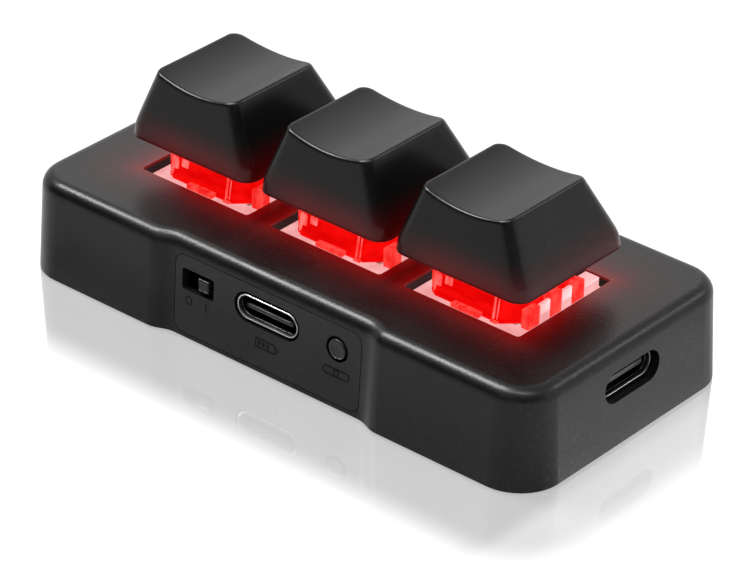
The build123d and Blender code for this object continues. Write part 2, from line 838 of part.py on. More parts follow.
def cap_section(share, z, inset):
    """A cap outline, a given share of the way from the skirt to the crown."""
    length = cap_size + (cap_top_length - cap_size) * share - inset * 2
    width = cap_size + (cap_top_width - cap_size) * share - inset * 2
    radius = cap_corner_radius + (cap_top_corner_radius - cap_corner_radius) * share
    inner_radius = max(radius - inset, radius * least_radius_share)
    return Pos(0, cap_top_shift * share, z) * RectangleRounded(length, width, inner_radius)


def make_keycap(x):
    skirt_share = cap_skirt_draw * 2 / (cap_size - cap_top_length)
    skirt_top_z = cap_base_z + cap_skirt_height
    rim_z = cap_top_z + cap_dish_depth
    share_rise = (1 - skirt_share) / (rim_z - skirt_top_z)
    over_share = 1 + share_rise * cap_roof
    skirt = cap_section(skirt_share, skirt_top_z, 0)
    cap = loft([cap_section(0, cap_base_z, 0), skirt], ruled=True)
    cap += loft([skirt, cap_section(over_share, rim_z + cap_roof, 0)], ruled=True)
    crease = [edge for edge in cap.edges() if abs(edge.center().Z - skirt_top_z) < cap_skirt_draw]
    cap = fillet(crease, cap_skirt_blend)
    half = cap_top_length / 2
    dish_radius = (half * half + cap_dish_depth * cap_dish_depth) / (cap_dish_depth * 2)
    dish = Pos(0, 0, cap_top_z + dish_radius) * Rot(X=90) * Cylinder(dish_radius, cap_size * 2)
    cap -= dish
    rim = [edge for edge in cap.edges() if edge.bounding_box().min.Z > cap_top_z - cap_edge_round]
    cap = fillet(rim, cap_edge_round)
    ceiling_z = cap_top_z - cap_roof
    ceiling_share = skirt_share + share_rise * (ceiling_z - skirt_top_z)
    hollow = [cap_section(0, cap_base_z, cap_wall), cap_section(ceiling_share, ceiling_z, cap_wall)]
    cap -= loft(hollow, ruled=True)
    post_low_z = crown_z + cap_post_gap
    cap += upright(0, 0, post_low_z, ceiling_z, cap_post_diameter)
    socket_top_z = crown_z + cross_height + cap_post_gap
    for span_x, span_y in ((cross_span, cross_thickness_x), (cross_thickness_y, cross_span)):
        length = span_x + cross_fit_gap * 2
        width = span_y + cross_fit_gap * 2
        cap -= crate(0, 0, length, width, post_low_z - overrun, socket_top_z)
    return Pos(x, 0, 0) * cap


nodes = {
    "top_case": make_top_case(),
    "port_panel": make_port_panel(),
    "bottom_cover": make_bottom_cover(),
    "rubber_feet": make_rubber_feet(),
    "case_screws": make_case_screws(),
    "switch_plate": make_switch_plate(),
    "plate_screws": make_plate_screws(),
    "main_board": make_main_board(),
    "control_board": make_control_board(),
    "link_board": make_link_board(),
    "front_port_shell": make_front_port_shell(),
    "front_port_tongue": make_front_port_tongue(),
    "side_port_shell": make_side_port_shell(),
    "side_port_tongue": make_side_port_tongue(),
    "power_switch_body": make_power_body(),
    "power_slider": make_power_slider(),
    "pair_button": make_pair_button(),
    "push_switch_body": make_push_body(),
    "push_switch_plunger": make_push_plunger(),
    "battery": make_battery(),
    "battery_lead_positive": make_battery_lead(1),
    "battery_lead_negative": make_battery_lead(-1),
    "battery_connector": make_battery_connector(),
    "controller_chip": make_chip(controller_chip_size, -chip_offset),
    "charger_chip": make_chip(charger_chip_size, chip_offset),
}
for number, place in enumerate(key_places, start=1):
    nodes[f"switch_base_{number}"] = make_switch_base(place)
    nodes[f"switch_top_{number}"] = make_switch_top(place)
    nodes[f"switch_stem_{number}"] = make_switch_stem(place)
    nodes[f"switch_spring_{number}"] = make_switch_spring(place)
    nodes[f"fixed_contact_{number}"] = make_fixed_contact(place)
    nodes[f"leaf_contact_{number}"] = make_leaf_contact(place)
    nodes[f"key_lamp_{number}"] = make_key_lamp(place)
    nodes[f"keycap_{number}"] = make_keycap(place)

os.makedirs("parts", exist_ok=True)
for name, shape in nodes.items():
    export_step(shape, f"parts/{name}.step")
print_spring_gap()
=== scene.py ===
import json
import math
import bmesh
import bpy
import numpy as np
from mathutils import Matrix, Vector


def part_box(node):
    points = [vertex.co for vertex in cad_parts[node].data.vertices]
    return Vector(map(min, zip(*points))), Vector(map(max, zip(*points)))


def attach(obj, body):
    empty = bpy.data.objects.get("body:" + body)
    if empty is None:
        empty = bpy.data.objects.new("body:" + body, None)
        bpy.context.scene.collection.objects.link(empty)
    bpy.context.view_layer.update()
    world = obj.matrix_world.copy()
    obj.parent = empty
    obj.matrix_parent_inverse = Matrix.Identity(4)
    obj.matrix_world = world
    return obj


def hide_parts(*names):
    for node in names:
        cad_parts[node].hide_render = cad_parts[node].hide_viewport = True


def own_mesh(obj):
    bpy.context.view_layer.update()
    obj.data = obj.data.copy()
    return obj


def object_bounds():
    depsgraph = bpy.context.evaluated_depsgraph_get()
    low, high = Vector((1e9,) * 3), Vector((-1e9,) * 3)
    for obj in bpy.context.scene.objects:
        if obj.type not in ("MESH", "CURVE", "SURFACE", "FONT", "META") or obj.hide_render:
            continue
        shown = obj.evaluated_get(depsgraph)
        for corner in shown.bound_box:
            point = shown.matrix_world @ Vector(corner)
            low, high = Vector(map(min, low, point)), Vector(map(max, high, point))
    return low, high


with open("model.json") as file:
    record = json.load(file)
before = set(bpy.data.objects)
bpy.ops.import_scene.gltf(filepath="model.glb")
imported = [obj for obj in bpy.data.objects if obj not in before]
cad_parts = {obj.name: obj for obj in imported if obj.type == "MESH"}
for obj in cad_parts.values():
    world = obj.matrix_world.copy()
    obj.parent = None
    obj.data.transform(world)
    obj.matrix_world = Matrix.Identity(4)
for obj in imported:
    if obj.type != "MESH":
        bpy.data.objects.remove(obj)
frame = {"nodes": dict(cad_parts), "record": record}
cadBox = [list(corner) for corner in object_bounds()]
nodes = frame["nodes"]
bodyOf = {node: body for body, group in frame["record"]["behaviour"]["bodies"].items() for node in group}
mm = 0.001
keyNumbers = (1, 2, 3)
scene = bpy.context.scene
scene.view_settings.view_transform = "Standard"
print("frame loaded,", len(nodes), "CAD nodes")


# Mesh helpers: grids of points become quads, several grids become one piece

meshWork = {"mergeDistance": 0.0005 * mm, "sharpAngle": 40.0}


def gridFaces(rows, columns, start):
    # quad between row i, i+1 and column j, j+1, with the last column joined to the first
    i = np.arange(rows - 1)[:, None]
    j = np.arange(columns)[None, :]
    k = (j + 1) % columns
    corners = [i * columns + j, i * columns + k, (i + 1) * columns + k, (i + 1) * columns + j]
    return (np.stack(corners, axis=-1).reshape(-1, 4) + start).tolist()


class Shape:
    # gathers the grids of one piece, then makes its mesh
    def __init__(self):
        self.points = []
        self.faces = []
        self.count = 0

    def addPoints(self, points):
        # a grid's points as one list; gives back the number of the first
        flat = np.asarray(points, float).reshape(-1, 3)
        start = self.count
        self.points.append(flat)
        self.count += len(flat)
        return start

    def addFan(self, ring, middle):
        # triangles from a ring of vertex numbers to one middle point
        centre = self.addPoints(middle)
        fan = np.stack([ring, np.roll(ring, -1), np.full(len(ring), centre)], axis=-1)
        self.faces += fan.tolist()

    def addGrid(self, grid, capEnds=True):
        # rows of closed rings; a cap closes each end ring with a fan to its middle
        rows, columns = grid.shape[:2]
        start = self.addPoints(grid)
        self.faces += gridFaces(rows, columns, start)
        if capEnds:
            self.addFan(start + np.arange(columns), grid[0].mean(axis=0))
            self.addFan(start + (rows - 1) * columns + np.arange(columns), grid[-1].mean(axis=0))

    def piece(self, name, body, finish, slot, replaced=None, sharpAngle=meshWork["sharpAngle"]):
        # all points and faces as one mesh, standing in for a CAD node where one is named
        mesh = bpy.data.meshes.new(name)
        mesh.from_pydata(np.concatenate(self.points).tolist(), [], self.faces)
        made = finishPiece(name, mesh, body, finish, sharpAngle)
        if replaced:
            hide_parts(replaced)
        return made


def finishPiece(name, mesh, body, finish, sharpAngle):
    # doubles merged, normals outwards, smooth except across sharp edges
    work = bmesh.new()
    work.from_mesh(mesh)
    bmesh.ops.remove_doubles(work, verts=work.verts, dist=meshWork["mergeDistance"])
    bmesh.ops.recalc_face_normals(work, faces=work.faces)
    work.to_mesh(mesh)
    work.free()
    mesh.shade_smooth()
    mesh.set_sharp_from_angle(angle=math.radians(sharpAngle))
    mesh.materials.append(finishes[finish])
    made = bpy.data.objects.new(name, mesh)
    scene.collection.objects.link(made)
    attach(made, body)
    return made


def roundedLoop(halfX, halfY, radius, perCorner=10, perSide=12):
    # rounded rectangle: corner centre plus the radius in each column's direction, straight sides between;
    # a size may be one number, one for each row, or one for each row and column
    turn = np.linspace(0, math.pi / 2, perCorner)
    blend = np.linspace(0, 1, perSide + 2)[1:-1]
    sx, sy, dx, dy = [], [], [], []
    for quarter in range(4):
        angle = quarter * math.pi / 2
        c = round(math.cos(angle))
        s = round(math.sin(angle))
        cornerX, cornerY, nextX, nextY = c - s, s + c, -s - c, c - s
        sx += [np.full(perCorner, cornerX), cornerX + (nextX - cornerX) * blend]
        sy += [np.full(perCorner, cornerY), cornerY + (nextY - cornerY) * blend]
        dx += [np.cos(turn + angle), np.full(perSide, -s)]
        dy += [np.sin(turn + angle), np.full(perSide, c)]
    sx, sy, dx, dy = (np.concatenate(part)[None, :] for part in (sx, sy, dx, dy))
    sizes = [np.asarray(size, float) for size in (halfX, halfY, radius)]
    halfX, halfY, radius = (size[:, None] if size.ndim == 1 else size for size in sizes)
    return sx * (halfX - radius) + radius * dx, sy * (halfY - radius) + radius * dy


def stacked(x, y, z):
    # three arrays of coordinates, spread over one another, as a grid of points
    return np.stack(np.broadcast_arrays(x, y, z), axis=-1)


def arcSteps(count):
    # sine and cosine of a quarter turn, for small roundings
    turn = np.linspace(0, math.pi / 2, count)
    return np.sin(turn), np.cos(turn)


# loopSteps are the points for each corner and for each side
barShape = {"edgeSteps": 4, "leastRoundShare": 0.2, "loopSteps": (4, 3)}


def roundedBar(low, high, edge):
    # box with quarter-round edges: outlines drawn in by one less sine, raised by one less cosine
    s = barShape
    low, high = np.array(low, float), np.array(high, float)
    halfX, halfY = (high - low)[:2] / 2
    sine, cosine = arcSteps(s["edgeSteps"])
    inset = edge * np.concatenate([1 - sine, 1 - sine[::-1]])
    z = np.concatenate([low[2] + edge * (1 - cosine), high[2] - edge * (1 - cosine[::-1])])
    radius = np.maximum(edge - inset, s["leastRoundShare"] * edge)
    x, y = roundedLoop(halfX - inset, halfY - inset, radius, *s["loopSteps"])
    middle = (low + high) / 2
    return stacked(x + middle[0], y + middle[1], z[:, None])


def barBetween(corners, edge):
    # rounded bar between two corners given in millimetres
    low, high = np.array(corners) * mm
    return roundedBar(low, high, edge)


def turned(profile, steps):
    # pairs of radius and height carried round an axis
    radius, height = np.array(profile, float).T[:, :, None]
    turn = np.linspace(0, 2 * math.pi, steps + 1)[:-1]
    return stacked(radius * np.cos(turn), radius * np.sin(turn), height)


def placed(grid, u, v, w, origin):
    # local directions turned onto the axes u, v, w, then moved to the origin given
    return grid @ np.array([u, v, w], float) + np.array(origin, float)


# Shared effects as shader node groups

def newGroup(name, inputs, outputs):
    # a place and some plain numbers go in, plain numbers come out
    group = bpy.data.node_groups.new(name, "ShaderNodeTree")
    group.interface.new_socket("Vector", in_out="INPUT", socket_type="NodeSocketVector")
    for label in inputs:
        group.interface.new_socket(label, in_out="INPUT", socket_type="NodeSocketFloat")
    for label in outputs:
        group.interface.new_socket(label, in_out="OUTPUT", socket_type="NodeSocketFloat")
    return group, group.nodes.new("NodeGroupInput"), group.nodes.new("NodeGroupOutput")


def setOrLink(tree, socket, value):
    # a plain number is set, anything else is a socket to link
    if isinstance(value, (int, float)):
        socket.default_value = value
    else:
        tree.links.new(value, socket)


def mathNode(tree, operation, first, second=None):
    # one sum on numbers or sockets
    node = tree.nodes.new("ShaderNodeMath")
    node.operation = operation
    setOrLink(tree, node.inputs[0], first)
    if second is not None:
        setOrLink(tree, node.inputs[1], second)
    return node.outputs[0]


def rangeNode(tree, value, low, high, toLow, toHigh):
    # one span carried smoothly onto another
    node = tree.nodes.new("ShaderNodeMapRange")
    node.interpolation_type = "SMOOTHSTEP"
    setOrLink(tree, node.inputs["Value"], value)
    for label, given in (("From Min", low), ("From Max", high), ("To Min", toLow), ("To Max", toHigh)):
        setOrLink(tree, node.inputs[label], given)
    return node.outputs["Result"]


def noiseNode(tree, vector, scale, detail):
    # soft noise with some finer layers
    node = tree.nodes.new("ShaderNodeTexNoise")
    node.inputs["Detail"].default_value = detail
    tree.links.new(vector, node.inputs["Vector"])
    setOrLink(tree, node.inputs["Scale"], scale)
    return node.outputs["Fac"]


def separate(tree, vector):
    # a vector's three parts
    node = tree.nodes.new("ShaderNodeSeparateXYZ")
    tree.links.new(vector, node.inputs["Vector"])
    return node.outputs


def outside(tree, value, middle, half):
    # how far a coordinate lies beyond a span, zero inside it
    away = mathNode(tree, "ABSOLUTE", mathNode(tree, "SUBTRACT", value, middle))
    return mathNode(tree, "MAXIMUM", mathNode(tree, "SUBTRACT", away, half), 0.0)


def distance(tree, x, y):
    # root of the sum of the squares
    squares = mathNode(tree, "ADD", mathNode(tree, "POWER", x, 2.0), mathNode(tree, "POWER", y, 2.0))
    return mathNode(tree, "SQRT", squares)


grainLook = {"coarseShare": 0.45, "detail": 3.0, "speckleSpan": (0.52, 0.72)}
handlingLook = {"detail": 4.0, "noiseSpan": (0.3, 0.7)}
dustLook = {"detail": 2.0, "speckSpan": (0.68, 0.8), "upwardSpan": (0.2, 0.9), "leastShare": 0.15}


def makeGrainGroup():
    # moulded grain: rounded cells plus a coarser noise as a height, the noise's peaks as a speckle mask
    s = grainLook
    group, given, result = newGroup("mouldedGrain", ["Scale"], ["Height", "Speckle"])
    cells = group.nodes.new("ShaderNodeTexVoronoi")
    cells.feature = "SMOOTH_F1"
    group.links.new(given.outputs["Vector"], cells.inputs["Vector"])
    group.links.new(given.outputs["Scale"], cells.inputs["Scale"])
    coarse = mathNode(group, "MULTIPLY", given.outputs["Scale"], s["coarseShare"])
    noise = noiseNode(group, given.outputs["Vector"], coarse, s["detail"])
    group.links.new(mathNode(group, "ADD", cells.outputs["Distance"], noise), result.inputs["Height"])
    group.links.new(rangeNode(group, noise, *s["speckleSpan"], 0.0, 1.0), result.inputs["Speckle"])
    return group


def makeHandlingGroup():
    # broad soft patches left by handling: a noise's middle span, as a mask and between two values
    s = handlingLook
    group, given, result = newGroup("handlingPatches", ["Scale", "Low", "High"], ["Value", "Mask"])
    noise = noiseNode(group, given.outputs["Vector"], given.outputs["Scale"], s["detail"])
    value = rangeNode(group, noise, *s["noiseSpan"], given.outputs["Low"], given.outputs["High"])
    group.links.new(value, result.inputs["Value"])
    group.links.new(rangeNode(group, noise, *s["noiseSpan"], 0.0, 1.0), result.inputs["Mask"])
    return group


def makeDustGroup():
    # sparse fine dust: a noise's peaks, thicker on faces that look up
    s = dustLook
    group, given, result = newGroup("fineDust", ["Scale"], ["Mask"])
    noise = noiseNode(group, given.outputs["Vector"], given.outputs["Scale"], s["detail"])
    specks = rangeNode(group, noise, *s["speckSpan"], 0.0, 1.0)
    normal = group.nodes.new("ShaderNodeNewGeometry").outputs["Normal"]
    upward = rangeNode(group, separate(group, normal)["Z"], *s["upwardSpan"], s["leastShare"], 1.0)
    group.links.new(mathNode(group, "MULTIPLY", specks, upward), result.inputs["Mask"])
    return group


grainGroup = makeGrainGroup()
handlingGroup = makeHandlingGroup()
dustGroup = makeDustGroup()


def useGroup(tree, group, vector, **values):
    # a group in a material, fed with a place and its numbers
    node = tree.nodes.new("ShaderNodeGroup")
    node.node_tree = group
    tree.links.new(vector, node.inputs["Vector"])
    for label, value in values.items():
        node.inputs[label].default_value = value
    return node.outputs


def mixColour(tree, mask, first, second):
    # from the first colour to the second as the mask rises
    node = tree.nodes.new("ShaderNodeMix")
    node.data_type = "RGBA"
    setOrLink(tree, node.inputs["Factor"], mask)
    for label, value in (("A", first), ("B", second)):
        socket = [s for s in node.inputs if s.name == label and s.type == "RGBA"][0]
        if isinstance(value, tuple):
            socket.default_value = (*value, 1.0)
        else:
            tree.links.new(value, socket)
    return [s for s in node.outputs if s.type == "RGBA"][0]


def newMaterial(name):
    # a material with its tree, its surface and the piece's own coordinates
    made = bpy.data.materials.new(name)
    made.use_nodes = True
    tree = made.node_tree
    place = tree.nodes.new("ShaderNodeTexCoord").outputs["Object"]
    return made, tree, tree.nodes["Principled BSDF"], place


def addBump(tree, shader, height, depth, strength):
    # shading tilted by a height's slope
    bump = tree.nodes.new("ShaderNodeBump")
    bump.inputs["Distance"].default_value = depth
    bump.inputs["Strength"].default_value = strength
    tree.links.new(height, bump.inputs["Height"])
    tree.links.new(bump.outputs["Normal"], shader.inputs["Normal"])


def stretched(tree, place, scale):
    # coordinates multiplied by one scale for each axis
    node = tree.nodes.new("ShaderNodeMapping")
    node.inputs["Scale"].default_value = scale
    tree.links.new(place, node.inputs["Vector"])
    return node.outputs["Vector"]


keyCentres = [(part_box(f"switch_base_{k}")[0].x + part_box(f"switch_base_{k}")[1].x) / 2 for k in keyNumbers]
flangeLow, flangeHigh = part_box("switch_base_2")
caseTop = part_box("top_case")[1].z
holeHalf = (flangeHigh.x - flangeLow.x) / 2

# Red light of the key lamps, painted as glow where it lies on the black plastics

paintedLampGlow = {
    "poolReach": 1.9 * mm,
    "poolEdge": 0.5 * mm,
    "skirtHeight": 5.4 * mm,
    "skirtPower": 1.7,
    "skirtShift": 1.5 * mm,
    "skirtNear": 3.5 * mm,
    "skirtFar": 9.5 * mm,
    "skirtLeast": 0.3,
    "farthest": 1.0,
}


def paintedPoolMask(tree, place):
    # painted pool of red light on the case's top, falling off by the same share for each step away from the
    # nearest key hole
    s = paintedLampGlow
    parts = separate(tree, place)
    overY = outside(tree, parts["Y"], 0.0, holeHalf)
    nearest = s["farthest"]
    for centre in keyCentres:
        away = distance(tree, outside(tree, parts["X"], centre, holeHalf), overY)
        nearest = mathNode(tree, "MINIMUM", away, nearest)
    fall = mathNode(tree, "POWER", math.e, mathNode(tree, "DIVIDE", nearest, -s["poolReach"]))
    top = rangeNode(tree, parts["Z"], caseTop - s["poolEdge"], caseTop, 0.0, 1.0)
    return mathNode(tree, "MULTIPLY", fall, top)


def paintedSkirtGlowMask(tree, place):
    # painted red glow of the lamp on a keycap's skirt, strongest at its lower edge above the lamp
    s = paintedLampGlow
    parts = separate(tree, place)
    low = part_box("keycap_1")[0].z
    up = rangeNode(tree, parts["Z"], low, low + s["skirtHeight"], 1.0, 0.0)
    nearest = s["farthest"]
    for centre in keyCentres:
        away = outside(tree, parts["X"], centre + s["skirtShift"], 0.0)
        nearest = mathNode(tree, "MINIMUM", away, nearest)
    side = rangeNode(tree, nearest, s["skirtNear"], s["skirtFar"], 1.0, s["skirtLeast"])
    return mathNode(tree, "MULTIPLY", mathNode(tree, "POWER", up, s["skirtPower"]), side)


# Finishes: each has its own colours and scales on top of a plain kind

def plasticMaterial(name, s):
    # moulded plastic: mottled colour, patchy roughness, grain bump and a little dust, and where a finish asks
    # for it, the lamps' red light painted on as glow
    made, tree, shader, place = newMaterial(name)
    grain = useGroup(tree, grainGroup, place, Scale=s["grainScale"])
    low, high = s["rough"]
    patches = useGroup(tree, handlingGroup, place, Scale=s["patchScale"], Low=low, High=high)
    dust = useGroup(tree, dustGroup, place, Scale=s["dustScale"])
    colour = mixColour(tree, patches["Mask"], s["colour"], s["colourWorn"])
    specks = mathNode(tree, "MULTIPLY", grain["Speckle"], s["speckle"])
    colour = mixColour(tree, specks, colour, s["speckleColour"])
    colour = mixColour(tree, mathNode(tree, "MULTIPLY", dust["Mask"], s["dust"]), colour, s["dustColour"])
    tree.links.new(colour, shader.inputs["Base Color"])
    tree.links.new(patches["Value"], shader.inputs["Roughness"])
    shader.inputs["Specular IOR Level"].default_value = s["specular"]
    addBump(tree, shader, grain["Height"], s["grainDepth"], s["grainStrength"])
    # painted light: the lamps' red glow as emission, by the finish's mask
    if s["paintedGlowMask"]:
        glow = mixColour(tree, s["paintedGlowMask"](tree, place), (0.0, 0.0, 0.0), s["paintedGlowColour"])
        tree.links.new(glow, shader.inputs["Emission Color"])
        shader.inputs["Emission Strength"].default_value = 1.0
    return made


def metalMaterial(name, s):
    # drawn or plated metal: streaks along one direction, patchy roughness
    made, tree, shader, place = newMaterial(name)
    grain = useGroup(tree, grainGroup, stretched(tree, place, s["streaks"]), Scale=s["grainScale"])
    low, high = s["rough"]
    patches = useGroup(tree, handlingGroup, place, Scale=s["patchScale"], Low=low, High=high)
    colour = mixColour(tree, patches["Mask"], s["colour"], s["colourWorn"])
    tree.links.new(colour, shader.inputs["Base Color"])
    tree.links.new(patches["Value"], shader.inputs["Roughness"])
    shader.inputs["Metallic"].default_value = 1.0
    addBump(tree, shader, grain["Height"], s["grainDepth"], s["grainStrength"])
    return made


def glowMaterial(name, s):
    # tinted plastic with the lamps' light from inside painted on as glow, brighter in painted streaks
    made, tree, shader, place = newMaterial(name)
    vector = stretched(tree, place, s["streaks"])
    patches = useGroup(tree, handlingGroup, vector, Scale=s["streakScale"], Low=0.0, High=1.0)
    grain = useGroup(tree, grainGroup, place, Scale=s["grainScale"])
    # painted light: the glow's colour goes from dim to bright along the streaks
    glow = mixColour(tree, patches["Mask"], s["glow"], s["glowBright"])
    tree.links.new(glow, shader.inputs["Emission Color"])
    shader.inputs["Emission Strength"].default_value = s["glowStrength"]
    colour = mixColour(tree, patches["Mask"], s["colour"], s["colourWorn"])
    tree.links.new(colour, shader.inputs["Base Color"])
    rough = rangeNode(tree, grain["Height"], *s["grainSpan"], *s["rough"])
    tree.links.new(rough, shader.inputs["Roughness"])
    shader.inputs["Specular IOR Level"].default_value = s["specular"]
    addBump(tree, shader, grain["Height"], s["grainDepth"], s["grainStrength"])
    return made


plainPlastic = {
    "colour": (0.0035, 0.0035, 0.0037), "colourWorn": (0.005, 0.005, 0.0052),
    "speckleColour": (0.016, 0.016, 0.0165), "speckle": 0.3,
    "dustColour": (0.2, 0.2, 0.2), "dust": 0.04, "dustScale": 1500.0,
    "grainScale": 4500.0, "grainDepth": 0.015 * mm, "grainStrength": 0.5,
    "patchScale": 90.0, "rough": (0.27, 0.33), "specular": 0.18,
    "paintedGlowMask": None, "paintedGlowColour": (0.0, 0.0, 0.0),
}
plasticFinishes = {
    "casePlastic": {
        "colour": (0.0018, 0.0018, 0.0019), "colourWorn": (0.0026, 0.0026, 0.0027),
        "grainScale": 4200.0, "grainStrength": 0.6, "speckle": 0.15, "dust": 0.015,
        # painted pool of the lamps' red light around the key holes
        "paintedGlowMask": paintedPoolMask, "paintedGlowColour": (0.2, 0.0006, 0.0006),
    },
    "panelPlastic": {"grainScale": 4800.0, "grainStrength": 0.35},
    "capPlastic": {
        "colour": (0.0018, 0.0018, 0.0019), "colourWorn": (0.0026, 0.0026, 0.0027), "specular": 0.17,
        "grainScale": 5200.0, "grainStrength": 0.2, "rough": (0.24, 0.28), "speckle": 0.1, "dust": 0.01,
        # painted red glow of the lamps low on the caps' skirts
        "paintedGlowMask": paintedSkirtGlowMask, "paintedGlowColour": (0.08, 0.0, 0.0),
    },
    "coverPlastic": {"grainScale": 2600.0, "grainStrength": 0.8},
    "knobPlastic": {"colour": (0.005, 0.005, 0.0052), "colourWorn": (0.008, 0.008, 0.0082)},
    "stemPlastic": {
        "colour": (0.42, 0.03, 0.03), "colourWorn": (0.5, 0.05, 0.05), "speckleColour": (0.5, 0.08, 0.08),
    },
    "tonguePlastic": {"colour": (0.006, 0.006, 0.0062), "colourWorn": (0.009, 0.009, 0.0092)},
    "chipEpoxy": {"colour": (0.015, 0.015, 0.016), "rough": (0.55, 0.65)},
    "boardLaminate": {
        "colour": (0.012, 0.07, 0.03), "colourWorn": (0.02, 0.1, 0.045), "speckleColour": (0.05, 0.16, 0.08),
        "rough": (0.3, 0.4),
    },
    "connectorNylon": {
        "colour": (0.7, 0.68, 0.62), "colourWorn": (0.62, 0.6, 0.55), "speckleColour": (0.75, 0.73, 0.68),
    },
    "leadRed": {
        "colour": (0.45, 0.02, 0.02), "colourWorn": (0.38, 0.02, 0.02), "speckleColour": (0.5, 0.05, 0.05),
    },
    "leadBlack": {},
    "footRubber": {
        "colour": (0.012, 0.012, 0.012), "colourWorn": (0.02, 0.02, 0.02), "rough": (0.75, 0.85),
        "grainScale": 1800.0, "grainStrength": 0.9, "dust": 0.25,
    },
    "markInk": {
        "colour": (0.001, 0.001, 0.001), "colourWorn": (0.002, 0.002, 0.002),
        "speckleColour": (0.004, 0.004, 0.004), "specular": 0.06, "dust": 0.0,
    },
}
plainMetal = {
    "colour": (0.62, 0.62, 0.63), "colourWorn": (0.5, 0.5, 0.52), "streaks": (1.0, 1.0, 6.0),
    "grainScale": 2500.0, "grainDepth": 0.005 * mm, "grainStrength": 0.4,
    "patchScale": 300.0, "rough": (0.22, 0.34),
}
metalFinishes = {
    # painted light: a lighter copy of the port steel on the rim, where it catches the light
    "paintedLightRimSteel": {"colour": (0.36, 0.36, 0.364), "colourWorn": (0.3, 0.3, 0.304), "rough": (0.3, 0.4)},
    # painted shade: a darker copy of the port steel on the tongue's nose, inside the port
    "paintedShadeNoseSteel": {"colour": (0.16, 0.16, 0.165), "colourWorn": (0.12, 0.12, 0.122), "rough": (0.4, 0.5)},
    # painted shade: the port steel darkened to near black on the shell and inside the mouth
    "paintedShadePortSteel": {"colour": (0.015, 0.015, 0.0155), "colourWorn": (0.02, 0.02, 0.0205), "rough": (0.4, 0.5)},
    "springSteel": {"colour": (0.56, 0.55, 0.53)},
    "screwSteel": {"colour": (0.2, 0.2, 0.21), "colourWorn": (0.3, 0.3, 0.31)},
    "plateSteel": {"colour": (0.35, 0.35, 0.36), "rough": (0.4, 0.5)},
    "contactBrass": {"colour": (0.5, 0.34, 0.13), "colourWorn": (0.42, 0.28, 0.1), "rough": (0.35, 0.45)},
    "switchCan": {"colour": (0.16, 0.16, 0.165), "colourWorn": (0.12, 0.12, 0.122)},
    "cellFoil": {"colour": (0.7, 0.7, 0.72), "rough": (0.3, 0.45)},
}
# painted light: clear plastic given its own glow in place of the light of the lamps inside
plainGlow = {
    "glow": (0.72, 0.0, 0.0), "glowBright": (0.92, 0.003, 0.002), "glowStrength": 1.0,
    "colour": (0.12, 0.001, 0.001), "colourWorn": (0.16, 0.001, 0.001),
    "streaks": (0.35, 1.0, 1.3), "streakScale": 700.0, "grainScale": 1600.0, "grainDepth": 0.03 * mm,
    "grainStrength": 0.4, "grainSpan": (0.2, 1.2), "rough": (0.2, 0.35), "specular": 0.05,
}
glowFinishes = {
    "glowPlastic": {},
    # painted light: a brighter, paler glow on the housings' feet
    "glowEdge": {
        "glow": (0.86, 0.012, 0.01), "glowBright": (1.0, 0.075, 0.06), "streaks": (1.0, 1.0, 0.5),
        "streakScale": 1100.0,
    },
    # painted light: a brighter, paler glow on the housings' ribs
    "glowRib": {
        "glow": (0.95, 0.05, 0.045), "glowBright": (1.0, 0.2, 0.18), "streaks": (1.0, 1.0, 0.4),
        "streakScale": 1300.0,
    },
    # pale base corners with the lamps' red light painted on as pink glow
    "palePaintedGlow": {
        "glow": (0.82, 0.33, 0.33), "glowBright": (0.92, 0.45, 0.45), "colour": (0.06, 0.045, 0.045),
        "colourWorn": (0.09, 0.075, 0.075), "streaks": (1.0, 1.0, 0.5), "streakScale": 420.0,
        "rough": (0.3, 0.45), "specular": 0.2,
    },
    "lampLens": {
        "glow": (1.0, 0.02, 0.02), "glowBright": (1.0, 0.2, 0.2), "glowStrength": 4.0,
        "colour": (0.8, 0.3, 0.3), "colourWorn": (0.9, 0.5, 0.5), "streaks": (1.0, 1.0, 1.0),
        "streakScale": 600.0, "rough": (0.15, 0.25), "specular": 0.5,
    },
}
finishes = {}
for makeKind, plain, family in (
    (plasticMaterial, plainPlastic, plasticFinishes),
    (metalMaterial, plainMetal, metalFinishes),
    (glowMaterial, plainGlow, glowFinishes),
):
    for name, own in family.items():
        finishes[name] = makeKind(name, {**plain, **own})
slotFinish = {
    "case_plastic": "casePlastic", "panel_plastic": "panelPlastic", "cap_plastic": "capPlastic",
    "cover_plastic": "coverPlastic", "knob_plastic": "knobPlastic", "pale_plastic": "palePaintedGlow",
    "glow_plastic": "glowPlastic", "stem_plastic": "stemPlastic", "tongue_plastic": "tonguePlastic",
    "port_steel": "paintedShadePortSteel", "spring_steel": "springSteel", "screw_steel": "screwSteel",
    "plate_steel": "plateSteel", "contact_brass": "contactBrass", "switch_can": "switchCan",
    "board": "boardLaminate", "chip": "chipEpoxy", "lamp": "lampLens", "foot_rubber": "footRubber",
    "cell_foil": "cellFoil", "lead_red": "leadRed", "lead_black": "leadBlack",
    "connector_white": "connectorNylon",
}
for made in nodes.values():
    slotName = made.data.materials[0].name.split(".")[0]
    made.data.materials.clear()
    made.data.materials.append(finishes[slotFinish[slotName]])
print("finishes ready,", len(finishes))

# Keycaps

